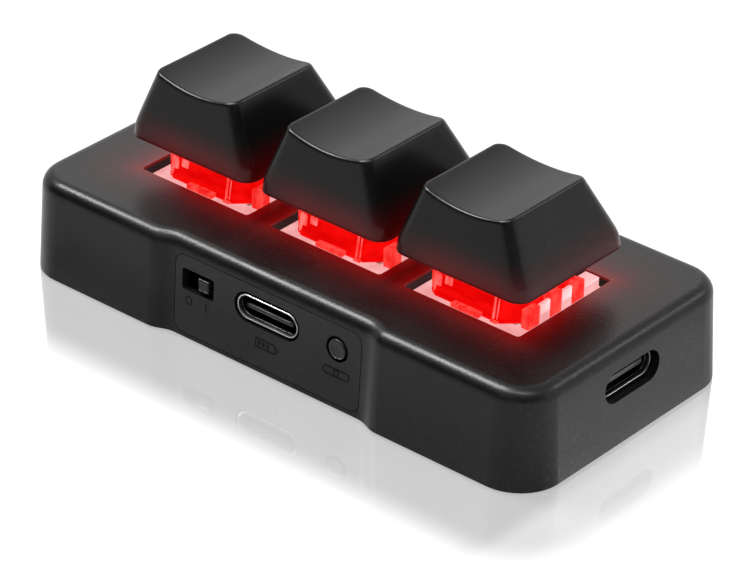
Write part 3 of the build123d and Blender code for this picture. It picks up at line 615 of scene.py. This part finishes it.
capShape = {
    "cornerRadius": 1.9 * mm,
    "topCornerRadius": 1.3 * mm,
    "skirtHeight": 1.5 * mm,
    "skirtDraw": 0.15 * mm,
    "skirtBlend": 0.5 * mm,
    "drawLength": 6.25 * mm,
    "drawWidth": 4.7 * mm,
    "topShift": -1.24 * mm,
    "dishDepth": 0.95 * mm,
    "topHeight": 7.7 * mm,
    "edgeRound": 0.42 * mm,
    "baseRound": 0.12 * mm,
    "wall": 1.35 * mm,
    "roof": 1.6 * mm,
    "roofRound": 0.3 * mm,
    "postDiameter": 5.5 * mm,
    "postDepth": 6.2 * mm,
    "postRound": 0.15 * mm,
    "socketRadius": 1.4 * mm,
    "leastRoundShare": 0.25,
    "roofShares": (0.3, 0.7, 0.97),
    "dishShares": (0.96, 0.9, 0.8, 0.65, 0.5, 0.35, 0.2, 0.08),
    "rimSteps": 6,
    "innerRows": 10,
    "outerRows": 26,
    "lipRows": 4,
    "edgeRows": 7,
    "postSides": 32,
}


def makeKeycap(number):
    # sides: rounded rectangles that shrink and shift with height; top: a hollow cylinder's arc across X
    s = capShape
    low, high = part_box(f"keycap_{number}")
    half = (high.x - low.x) / 2
    middleX = (high.x + low.x) / 2
    baseZ = low.z
    topZ = baseZ + s["topHeight"]
    skirtZ = baseZ + s["skirtHeight"]
    rimZ = topZ + s["dishDepth"]
    ceilingZ = topZ - s["roof"]
    topHalf = half - s["drawLength"] / 2
    dishRadius = (topHalf ** 2 + s["dishDepth"] ** 2) / (2 * s["dishDepth"])
    skirtShare = 2 * s["skirtDraw"] / s["drawLength"]
    shareRise = (1 - skirtShare) / (rimZ - skirtZ)

    def shareAt(z):
        # share of the draw: little over the skirt, then an even rise, eased where they meet
        above = np.maximum(z - skirtZ, 0)
        below = np.clip((z - baseZ) / s["skirtHeight"], 0, 1)
        soft = s["skirtBlend"] / 4 * np.exp(-np.abs(z - skirtZ) / s["skirtBlend"])
        return skirtShare * below + shareRise * (above + soft)

    def side(z, share, inset):
        # outline at a height: half sizes less their share of the draw, moved along Y by that share
        radius = s["cornerRadius"] + (s["topCornerRadius"] - s["cornerRadius"]) * share
        x, y = roundedLoop(
            half - s["drawLength"] / 2 * share - inset,
            half - s["drawWidth"] / 2 * share - inset,
            np.maximum(radius - inset, s["leastRoundShare"] * radius),
        )
        return stacked(x, y + s["topShift"] * share, z)

    def dishZ(x):
        # height on a circle's arc across X
        return topZ + dishRadius - np.sqrt(dishRadius ** 2 - x ** 2)

    # where the sides meet the dish, found by stepping the height a few times
    rim = side(rimZ, np.full((1, 1), shareAt(rimZ)), 0.0)
    for _ in range(s["rimSteps"]):
        z = dishZ(rim[..., 0])
        rim = side(z, shareAt(z), 0.0)

    innerZ = np.linspace(ceilingZ - s["roofRound"], baseZ + s["baseRound"], s["innerRows"])[:, None]
    inner = side(innerZ, shareAt(innerZ), s["wall"])
    ceiling = side(ceilingZ, np.full((1, 1), shareAt(ceilingZ)), s["wall"])
    ceilingMiddle = ceiling.mean(axis=1, keepdims=True)
    roof = ceilingMiddle + (ceiling - ceilingMiddle) * np.array(s["roofShares"])[:, None, None]
    sine, cosine = (steps[:, None] for steps in arcSteps(s["lipRows"]))
    lipZ = baseZ + s["baseRound"] * (1 - sine)
    lipIn = side(lipZ, 0 * sine, s["wall"] - s["baseRound"] * (1 - cosine))
    lipOut = side(lipZ, 0 * sine, s["baseRound"] * (1 - cosine))[::-1]
    t = np.linspace(0, 1, s["outerRows"])[1:, None]
    outerZ = (baseZ + s["baseRound"]) * (1 - t) + (rim[..., 2] - s["edgeRound"]) * t
    outer = side(outerZ, shareAt(outerZ), 0.0)

    # the rounded rim is a parabola from the side to the dish, with the sharp rim as its third point
    centre = np.array([0, s["topShift"], 0])
    pull = (rim - centre)[..., :2]
    dishEdge = rim.copy()
    dishEdge[..., :2] -= pull / np.linalg.norm(pull, axis=-1, keepdims=True) * s["edgeRound"]
    dishEdge[..., 2] = dishZ(dishEdge[..., 0])
    t = np.linspace(0, 1, s["edgeRows"])[1:, None, None]
    edge = (1 - t) ** 2 * outer[-1:] + 2 * t * (1 - t) * rim + t ** 2 * dishEdge
    inwards = np.array(s["dishShares"])[:, None, None]
    dish = centre + (dishEdge - centre) * inwards
    dish[..., 2] = dishZ(dish[..., 0])

    cap = Shape()
    cap.addGrid(np.concatenate([roof, inner, lipIn, lipOut, outer, edge, dish]) + np.array([middleX, 0, 0]))
    # the post under the roof: a round bar with a rounded lower edge
    radius = s["postDiameter"] / 2
    postLow = ceilingZ - s["postDepth"]
    post = turned([
        (radius, ceilingZ), (radius, postLow + s["postRound"]), (radius - s["postRound"], postLow),
        (s["socketRadius"], postLow),
    ], s["postSides"])
    cap.addGrid(post + np.array([middleX, 0, 0]))
    cap.piece(f"keycap{number}", f"key_{number}", "capPlastic", "cap_plastic", f"keycap_{number}")


for number in keyNumbers:
    makeKeycap(number)
print("keycaps made")

# Switch housings: clear upper halves with the lamps' light painted on as glow, with their feet and ribs

housingShape = {
    "crownHalf": (5.0 * mm, 4.6 * mm),
    "stemHalf": (3.35 * mm, 3.0 * mm),
    "chamfer": 0.7 * mm,
    "frontChamfer": (2.8 * mm, 1.6 * mm),
    "cornerReach": 0.22 * mm,
    "footStep": 0.25 * mm,
    "footHeight": 0.4 * mm,
    "crownRound": 0.3 * mm,
    "wall": 0.9 * mm,
    "roof": 1.2 * mm,
    "barEdge": 0.09 * mm,
    "crownEaseShare": 0.3,
    "stemReachShare": 0.3,
    "footHeightShares": (1, 0.9, 0.7, 0),
    "footStepShares": (-0.2, 0.6, 0, 0),
    "bodyRows": 12,
    "cornerRows": 5,
    "sharpAngle": 35.0,
}
# low and high corners in millimetres: across and up from the key's middle and the flange's top, and
# along Y from the housing's front for feet and ribs, or from the key's middle for what stands at its sides
footBars = (
    ((-2.7, -0.75, 0.0), (1.1, 0.3, 0.5)),
    ((2.35, -0.35, 0.0), (3.3, 0.3, 0.3)),
)
sideBars = (
    ((5.6, -4.6, 0.0), (6.62, -2.68, 2.3)),
    ((5.6, -1.02, 0.0), (6.62, 1.02, 2.7)),
    ((5.6, 2.68, 0.0), (6.62, 4.9, 2.3)),
)
cornerBars = (
    ((4.7, 5.0, 0.0), (6.6, 7.5, 1.35)),
)
ribBars = (
    ((2.45, -0.14, 0.3), (2.7, 0.4, 2.9)),
    ((3.0, -0.1, 0.4), (3.12, 0.4, 2.7)),
    ((-5.75, -0.1, 0.4), (-5.6, 0.4, 2.5)),
    ((-5.3, -0.1, 1.3), (-4.75, 0.4, 2.5)),
    ((-4.3, -0.1, 1.8), (-3.3, 0.4, 2.7)),
)


def cutCorners(halfX, halfY, chamfer, frontChamfer, reach):
    # eight-sided outline, each corner a parabola between points a short way along its two sides
    cutX, cutY = halfX - chamfer, halfY - chamfer
    x = [halfX - frontChamfer, halfX, halfX, cutX, -cutX, -halfX, -halfX, -cutX]
    y = [-halfY, frontChamfer - halfY, cutY, halfY, halfY, cutY, -cutY, -halfY]
    corner = np.stack([np.stack(x, axis=-1), np.stack(y, axis=-1)], axis=-1)[:, :, None, :]

    def towards(shift):
        # from each corner a short way to its neighbour
        step = np.roll(corner, shift, axis=1) - corner
        return corner + step / np.linalg.norm(step, axis=-1, keepdims=True) * reach

    t = np.linspace(0, 1, housingShape["cornerRows"])[:, None]
    curve = (1 - t) ** 2 * towards(1) + 2 * t * (1 - t) * corner + t ** 2 * towards(-1)
    return curve.reshape(len(halfX), -1, 2)


def makeHousing(number):
    # outlines that run straight from foot to crown; closed round its wall through the stem's opening
    s = housingShape
    low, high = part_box(f"switch_top_{number}")
    middleX = (low.x + high.x) / 2
    height = high.z - low.z
    footHalf = np.array([(high.x - low.x) / 2, (high.y - low.y) / 2])
    crownHalf = np.array(s["crownHalf"])
    crown = s["crownRound"]

    def ring(share, z, grow):
        # half sizes part of the way from foot to crown, grown all round, at a height above the foot
        share, z, grow = (np.asarray(value, float) for value in (share, z, grow))
        half = footHalf + (crownHalf - footHalf) * share[:, None] + grow[:, None]
        front = s["frontChamfer"][0] + (s["frontChamfer"][1] - s["frontChamfer"][0]) * share
        flat = cutCorners(half[:, 0], half[:, 1], s["chamfer"], front, s["cornerReach"])
        return stacked(flat[..., 0] + middleX, flat[..., 1], low.z + z[:, None])

    def stemRing(z):
        # the stem's opening at a height above the foot
        halfX, halfY = np.array(s["stemHalf"])[:, None]
        flat = cutCorners(halfX, halfY, crown, crown, s["stemReachShare"] * crown)
        return stacked(flat[..., 0] + middleX, flat[..., 1], low.z + z)

    roofZ = height - s["roof"]
    crownShare = 1 - crown / height
    crownZ = height - crown
    ease = s["crownEaseShare"] * crown
    upper = ring([1, 1, crownShare], [height, height - ease, crownZ], [-crown, -ease, 0])
    t = np.linspace(1, 0, s["bodyRows"])[1:-1]
    footZ = s["footHeight"]
    bodyZ = footZ + (crownZ - footZ) * t
    body = ring(bodyZ / height, bodyZ, 0 * t)
    rise = np.array(s["footHeightShares"])
    foot = ring(0 * rise, footZ * rise, s["footStep"] * np.array(s["footStepShares"]))
    inside = ring([0, roofZ / height], [0, roofZ], [-s["wall"], -s["wall"]])
    rows = [stemRing(roofZ), stemRing(height), upper, body, foot, inside, stemRing(roofZ)]
    housing = Shape()
    housing.addGrid(np.concatenate(rows), capEnds=False)
    housing.piece(f"clearHousing{number}", "case", "glowPlastic", "glow_plastic",
                  f"switch_top_{number}", s["sharpAngle"])

    edge = s["barEdge"]
    lean = (footHalf[1] - crownHalf[1]) / height
    front = np.array([middleX, low.y, low.z])
    middle = np.array([middleX, 0, low.z])
    feet, corners = Shape(), Shape()
    for ends in footBars:
        feet.addGrid(barBetween(ends, edge) + front)
    for bars, shape in ((sideBars, feet), (cornerBars, corners)):
        for ends in bars:
            bar = barBetween(ends, edge)
            shape.addGrid(bar + middle)
            shape.addGrid(bar * np.array([-1, 1, 1]) + middle)
    feet.piece(f"housingFeet{number}", "case", "glowEdge", "glow_plastic")
    corners.piece(f"baseCorners{number}", "case", "palePaintedGlow", "pale_plastic")
    ribs = Shape()
    for ends in ribBars:
        bar = barBetween(ends, edge)
        bar[..., 1] += lean * bar[..., 2]
        ribs.addGrid(bar + front)
    ribs.piece(f"housingRibs{number}", "case", "glowRib", "glow_plastic")


for number in keyNumbers:
    makeHousing(number)
print("housings made")

# Return springs: a round wire carried along a helix

springShape = {"wire": 0.4 * mm, "turns": 8, "stepsPerTurn": 40, "sides": 10, "travel": 4.0 * mm}


def makeSpring(number):
    # helix with an even rise for each turn, its wire a circle square to the path
    s = springShape
    low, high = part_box(f"switch_spring_{number}")
    radius = (high.y - low.y - s["wire"]) / 2
    middle = np.array([(low.x + high.x) / 2, (low.y + high.y) / 2, low.z + s["wire"] / 2])
    t = np.linspace(0, 1, s["turns"] * s["stepsPerTurn"] + 1)
    angle = 2 * math.pi * s["turns"] * t
    climb = high.z - low.z - s["wire"]
    path = np.stack([radius * np.cos(angle), radius * np.sin(angle), climb * t], axis=-1)
    ahead = np.gradient(path, axis=0)
    ahead /= np.linalg.norm(ahead, axis=1)[:, None]
    outward = np.stack([np.cos(angle), np.sin(angle), 0 * angle], axis=-1)
    across = np.cross(ahead, outward)
    turn = np.linspace(0, 2 * math.pi, s["sides"] + 1)[:-1][None, :, None]
    ring = np.cos(turn) * outward[:, None, :] + np.sin(turn) * across[:, None, :]
    coil = Shape()
    coil.addGrid(path[:, None, :] + s["wire"] / 2 * ring + middle)
    made = coil.piece(
        f"returnSpring{number}", "case", "springSteel", "spring_steel", f"switch_spring_{number}"
    )
    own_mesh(made)


for number in keyNumbers:
    makeSpring(number)
print("springs wound")

# Ports: drawn steel shells darkened as painted shade, a lighter copy of their steel on the lit rim as painted
# light, a tongue with contacts and a steel nose darkened as painted shade

# in millimetres: shell and rim are pairs of inset and depth, and strip has a low and a high corner
portShape = {
    "shell": ((0.0, 0.3), (0.04, 0.14), (0.1, 0.08), (0.2, 0.08), (0.31, 0.3)),
    "rim": ((0.12, 0.12), (0.13, 0.04), (0.17, 0.0), (0.25, 0.0), (0.295, 0.04), (0.3, 0.12), (0.3, 0.6),
            (0.33, 0.62), (0.12, 0.12)),
    "back": 0.25 * mm,
    "blockDepth": 2.3 * mm,
    "blockInset": 0.32 * mm,
    "tongueHalf": (3.35 * mm, 0.35 * mm),
    "tongueTip": 0.4 * mm,
    "tongueNose": 0.2 * mm,
    "strip": ((-2.95, 0.14, 0.37), (2.95, 0.3, 0.6)),
    "contactPlaces": np.linspace(-2.6, 2.6, 8) * mm,
    "contactHalf": 0.17 * mm,
    "contactLift": 0.02 * mm,
    "contactSpan": (1.5 * mm, 4.4 * mm),
    "barEdge": 0.06 * mm,
    "roundShare": 0.999,
    "loopSteps": (12, 6),
    "noseLeastShare": 0.25,
    "noseRows": 5,
    "tongueSteps": (5, 6),
}
portSides = {
    "front": ((1, 0, 0), (0, 0, 1), (0, 1, 0)),
    "side": ((0, 1, 0), (0, 0, 1), (-1, 0, 0)),
}


def stadiumRows(halfU, halfV, profile):
    # pairs of inset and depth carried round a stadium
    s = portShape
    inset, depth = np.array(profile, float).T
    radius = (halfV - inset) * s["roundShare"]
    u, v = roundedLoop(halfU - inset, halfV - inset, radius, *s["loopSteps"])
    return stacked(u, v, depth[:, None])


def makePort(side):
    # local u lies along the mouth, v is up and w goes inwards from the mouth
    s = portShape
    axes = portSides[side]
    low, high = (np.array(corner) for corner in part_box(f"{side}_port_shell"))
    size = np.abs((high - low) @ np.array(axes).T)
    halfU, halfV, depth = size[0] / 2, size[1] / 2, size[2]
    inward = np.array(axes[2])
    mouth = (low + high) / 2 - inward * depth / 2

    def put(grid):
        # from the mouth's own directions to the part's frame
        return placed(grid, *axes, mouth)

    lip = [(inset * mm, w * mm) for inset, w in s["shell"]]
    shell = Shape()
    shell.addGrid(put(stadiumRows(halfU, halfV, [(0, depth), *lip, (lip[-1][0], depth - s["back"])])))
    shell.piece(f"{side}PortShell", "case", "paintedShadePortSteel", "port_steel", f"{side}_port_shell")
    rim = Shape()
    rim.addGrid(put(stadiumRows(halfU, halfV, np.array(s["rim"]) * mm)), capEnds=False)
    rim.piece(f"{side}PortRim", "case", "paintedLightRimSteel", "port_steel")

    blockBack = depth - s["back"]
    blockFront = blockBack - s["blockDepth"]
    tongue = Shape()
    inset = s["blockInset"]
    tongue.addGrid(put(stadiumRows(halfU - inset, halfV - inset, [(0, blockFront), (0, blockBack)])))
    sine, cosine = arcSteps(s["noseRows"])
    nose = s["tongueNose"]
    drawn = np.append(nose * (1 - sine), 0)
    w = np.append(s["tongueTip"] + nose * (1 - cosine), blockFront + nose)
    halfWide, halfThick = s["tongueHalf"]
    radius = np.maximum(nose - drawn, s["noseLeastShare"] * nose)
    u, v = roundedLoop(halfWide - drawn, halfThick - drawn, radius, *s["tongueSteps"])
    tongue.addGrid(put(stacked(u, v, w[:, None])))
    tongue.piece(f"{side}PortTongue", "case", "tonguePlastic", "tongue_plastic", f"{side}_port_tongue")
    strip = Shape()
    strip.addGrid(put(barBetween(s["strip"], s["barEdge"])))
    strip.piece(f"{side}TongueNose", "case", "paintedShadeNoseSteel", "port_steel")
    contacts = Shape()
    near, far = s["contactSpan"]
    for place in s["contactPlaces"]:
        for face in (-1, 1):
            middleV = face * halfThick
            corner = np.array([s["contactHalf"], s["contactLift"], 0])
            barLow = np.array([place, middleV, near]) - corner
            barHigh = np.array([place, middleV, far]) + corner
            contacts.addGrid(put(roundedBar(barLow, barHigh, s["contactLift"] / 2)))
    contacts.piece(f"{side}PortContacts", "case", "contactBrass", "contact_brass")


for side in portSides:
    makePort(side)
print("ports made")

# Pairing button: turned, with a slightly dished face

buttonShape = {
    "profile": ((0.5, 0.05), (0.85, 0.02), (1.02, 0.0), (1.11, 0.03), (1.16, 0.1), (1.18, 0.22)),
    "flangeThickness": 0.6 * mm,
    "sides": 48,
}


def makeButton():
    # pairs of radius and depth behind the face, in millimetres, then the flange that keeps it in the panel
    s = buttonShape
    low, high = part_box("pair_button")
    flange = (high.x - low.x) / 2
    length = high.y - low.y
    face = [(radius * mm, depth * mm) for radius, depth in s["profile"]]
    flangeFront = length - s["flangeThickness"]
    profile = [*face, (face[-1][0], flangeFront), (flange, flangeFront), (flange, length)]
    button = Shape()
    origin = ((low.x + high.x) / 2, low.y, (low.z + high.z) / 2)
    button.addGrid(placed(turned(profile, s["sides"]), (1, 0, 0), (0, 0, 1), (0, 1, 0), origin))
    button.piece("pairButton", bodyOf["pair_button"], "knobPlastic", "knob_plastic", "pair_button")


makeButton()

# Plain marks on the panel: off and on, a charge level, and two links for pairing

markShape = {
    "draft": math.radians(2.9),
    "lift": 0.012 * mm,
    "sink": 0.03 * mm,
    "line": 0.2 * mm,
    "leastRoundShare": 0.1,
    "loopSteps": (8, 4),
}
# in millimetres: drop below the node's middle, rings as place, half sizes and radius, bars as place and
# half sizes
marks = {
    "powerMarks": {
        "node": "power_switch_body", "drop": 2.45,
        "rings": ((-1.25, 0.5, 0.56, 0.5),),
        "bars": ((1.25, 0.1, 0.56),),
    },
    "chargeMark": {
        "node": "front_port_shell", "drop": 3.6,
        "rings": ((0.0, 1.5, 0.62, 0.25),),
        "bars": ((1.72, 0.13, 0.28), (-0.9, 0.18, 0.28), (-0.3, 0.18, 0.28), (0.3, 0.18, 0.28)),
    },
    "pairMark": {
        "node": "pair_button", "drop": 2.9,
        "rings": ((-0.75, 1.15, 0.55, 0.55), (0.75, 1.15, 0.55, 0.55)),
        "bars": (),
    },
}


def flatRing(u, halfU, halfV, radius):
    # a flat band of one width along a rounded rectangle
    s = markShape
    inset = s["line"] * np.array([0, 0, 1, 1, 0])
    w = np.array([-s["sink"], s["lift"], s["lift"], -s["sink"], -s["sink"]])
    turns = np.maximum(radius - inset, s["leastRoundShare"] * radius)
    x, y = roundedLoop(halfU - inset, halfV - inset, turns, *s["loopSteps"])
    return stacked(x + u, y, w[:, None])


def flatBar(u, halfU, halfV):
    # a thin rounded bar, partly sunk in the panel
    s = markShape
    low = np.array([u - halfU, -halfV, -s["sink"]])
    return roundedBar(low, low + np.array([2 * halfU, 2 * halfV, s["sink"] + s["lift"]]), s["lift"])


def makeMark(name, node, drop, rings, bars):
    # the marks lie on the leaning panel, below the control whose middle is their place
    low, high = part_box(node)
    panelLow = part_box("port_panel")[0]
    place = np.array([(low.x + high.x) / 2, 0, (low.z + high.z) / 2 - drop * mm])
    lean = math.tan(markShape["draft"])
    place[1] = panelLow.y + lean * (place[2] - panelLow.z)
    mark = Shape()

    def put(grid):
        # upright along the lean, facing out of the panel
        return placed(grid, (1, 0, 0), (0, lean, 1), (0, -1, 0), place)

    for sizes in rings:
        mark.addGrid(put(flatRing(*np.array(sizes) * mm)), capEnds=False)
    for sizes in bars:
        mark.addGrid(put(flatBar(*np.array(sizes) * mm)))
    mark.piece(name, "case", "markInk", "panel_plastic")


for name, own in marks.items():
    makeMark(name, **own)
print("button and marks made")

# Floor, light and camera

stageLook = {
    "floorSize": 6.0,
    "floorColour": (0.8, 0.8, 0.8),
    "floorRough": 0.6,
    "whiteShare": 0.9,
    "mirror": 0.48,
    "mirrorNear": 6.5 * mm,
    "mirrorFar": 13.2 * mm,
    "mirrorEndScale": 1.2,
    "mirrorEndShare": 0.68,
    "mirrorEndBlend": 3.0 * mm,
    "mirrorRough": 0.06,
    "worldFill": 0.35,
}


def backgroundRay(tree):
    # one for camera, glossy and transmission rays, which see the plain white surroundings
    path = tree.nodes.new("ShaderNodeLightPath").outputs
    seen = mathNode(tree, "MAXIMUM", path["Is Camera Ray"], path["Is Glossy Ray"])
    return mathNode(tree, "MAXIMUM", seen, path["Is Transmission Ray"])


def stagePlane(name, corners):
    # one face with four corners that belongs to the stage
    mesh = bpy.data.meshes.new(name)
    mesh.from_pydata(corners, [], [(0, 1, 2, 3)])
    made = bpy.data.objects.new(name, mesh)
    scene.collection.objects.link(made)
    return made


def mixShader(tree, share, first, second):
    # from the first surface to the second by a share
    node = tree.nodes.new("ShaderNodeMixShader")
    tree.links.new(share, node.inputs["Fac"])
    tree.links.new(first, node.inputs[1])
    tree.links.new(second, node.inputs[2])
    return node.outputs[0]


def makeFloor():
    # white to the eye, pale to the lamps, with a mirror image that fades away from the case
    s = stageLook
    size = s["floorSize"]
    floor = stagePlane("paleFloor", [(-size, -size, 0), (size, -size, 0), (size, size, 0), (-size, size, 0)])
    made, tree, shader, place = newMaterial("paleFloor")
    shader.inputs["Base Color"].default_value = (*s["floorColour"], 1.0)
    shader.inputs["Roughness"].default_value = s["floorRough"]
    white = tree.nodes.new("ShaderNodeEmission").outputs[0]
    glossy = tree.nodes.new("ShaderNodeBsdfGlossy")
    glossy.inputs["Roughness"].default_value = s["mirrorRough"]
    parts = separate(tree, place)
    overX = outside(tree, parts["X"], 0.0, cadBox[1][0])
    scaledX = mathNode(tree, "MULTIPLY", overX, s["mirrorEndScale"])
    away = distance(tree, scaledX, outside(tree, parts["Y"], 0.0, cadBox[1][1]))
    mirror = rangeNode(tree, away, s["mirrorNear"], s["mirrorFar"], s["mirror"], 0.0)
    endShare = rangeNode(tree, overX, 0.0, s["mirrorEndBlend"], 1.0, s["mirrorEndShare"])
    mirror = mathNode(tree, "MULTIPLY", mirror, endShare)
    seen = backgroundRay(tree)
    pale = mixShader(tree, mathNode(tree, "MULTIPLY", seen, s["whiteShare"]), shader.outputs[0], white)
    surface = mixShader(tree, mathNode(tree, "MULTIPLY", seen, mirror), pale, glossy.outputs[0])
    tree.links.new(surface, tree.nodes["Material Output"].inputs["Surface"])
    floor.data.materials.append(made)


def makeWorld():
    # white to the eye and in mirrors, dimmer as a source of light
    world = bpy.data.worlds.new("paleRoom")
    world.use_nodes = True
    scene.world = world
    tree = world.node_tree
    back = tree.nodes["Background"]
    back.inputs["Color"].default_value = (1.0, 1.0, 1.0, 1.0)
    strength = rangeNode(tree, backgroundRay(tree), 0.0, 1.0, stageLook["worldFill"], 1.0)
    tree.links.new(strength, back.inputs["Strength"])


lamps = {
    "leftBox": {"place": (-0.226, -0.068, 0.402), "size": (0.13, 0.23), "power": 4.2, "mirrored": True},
    "topBox": {"place": (0.04, -0.12, 0.43), "size": (0.42, 0.06), "power": 1.6, "mirrored": True},
    "endBox": {"place": (0.31, 0.42, 0.34), "size": (0.2, 0.1), "power": 0.5, "mirrored": True},
    "rightFill": {"place": (0.70, 0.07, 0.075), "size": (0.3, 0.12), "power": 20.0, "mirrored": False},
    "backBox": {"place": (-0.387, 0.461, 0.37), "size": (0.45, 0.35), "power": 0.42, "mirrored": True},
}
lampAim = Vector((0, 0, 0.01))


def makeLamps():
    # rectangles of light that face the aim
    for name, s in lamps.items():
        data = bpy.data.lights.new(name, "AREA")
        data.shape = "RECTANGLE"
        data.size, data.size_y = s["size"]
        data.energy = s["power"]
        lamp = bpy.data.objects.new(name, data)
        scene.collection.objects.link(lamp)
        lamp.location = s["place"]
        lamp.rotation_euler = (Vector(s["place"]) - lampAim).to_track_quat("Z", "Y").to_euler()
        lamp.visible_glossy = s["mirrored"]


# dark cards, as in a product studio, which show only in reflections
cardLook = {"distance": 0.62, "colour": (0.01, 0.01, 0.01), "rough": 0.9}
darkCards = {
    "eyeCard": {"azimuth": 46.0, "width": 1.5, "low": 0.0, "high": 0.6},
    "leftCard": {"azimuth": -38.0, "width": 0.75, "low": 0.0, "high": 0.4},
}


def makeDarkCards():
    # upright faces, each square to its azimuth and at one distance from the part
    s = cardLook
    made, _, shader, _ = newMaterial("darkCard")
    shader.inputs["Base Color"].default_value = (*s["colour"], 1.0)
    shader.inputs["Roughness"].default_value = s["rough"]
    for name, c in darkCards.items():
        az = math.radians(c["azimuth"])
        out = Vector((math.sin(az), -math.cos(az), 0)) * s["distance"]
        side = Vector((math.cos(az), math.sin(az), 0)) * c["width"] / 2
        low, high = Vector((0, 0, c["low"])), Vector((0, 0, c["high"]))
        card = stagePlane(name, [out - side + low, out + side + low, out + side + high, out - side + high])
        card.data.materials.append(made)
        card.visible_camera = False


cameraView = {
    "azimuth": 39.99, "elevation": 30.706, "roll": 1.148, "distance": 436.06 * mm,
    "target": (6.273 * mm, -6.123 * mm, 8.3 * mm), "focalPixels": 4050.57, "imageWidth": 756, "sensor": 36.0,
    "clipStart": 0.01,
}


def makeCamera():
    # the eye stands back from the target along the viewing direction, turned by a small roll
    s = cameraView
    az, el, roll = (math.radians(s[key]) for key in ("azimuth", "elevation", "roll"))
    back = Vector((math.sin(az) * math.cos(el), -math.cos(az) * math.cos(el), math.sin(el)))
    right = Vector((math.cos(az), math.sin(az), 0))
    up = back.cross(right)
    turnedRight = math.cos(roll) * right + math.sin(roll) * up
    turnedUp = math.cos(roll) * up - math.sin(roll) * right
    eye = Vector(s["target"]) + s["distance"] * back
    data = bpy.data.cameras.new("photoView")
    data.sensor_width = s["sensor"]
    data.lens = s["focalPixels"] / s["imageWidth"] * s["sensor"]
    data.clip_start = s["clipStart"]
    camera = bpy.data.objects.new("photoView", data)
    scene.collection.objects.link(camera)
    camera.matrix_world = Matrix((
        (turnedRight.x, turnedUp.x, back.x, eye.x),
        (turnedRight.y, turnedUp.y, back.y, eye.y),
        (turnedRight.z, turnedUp.z, back.z, eye.z),
        (0, 0, 0, 1),
    ))
    scene.camera = camera


makeFloor()
makeWorld()
makeLamps()
makeDarkCards()
makeCamera()
print("stage set")
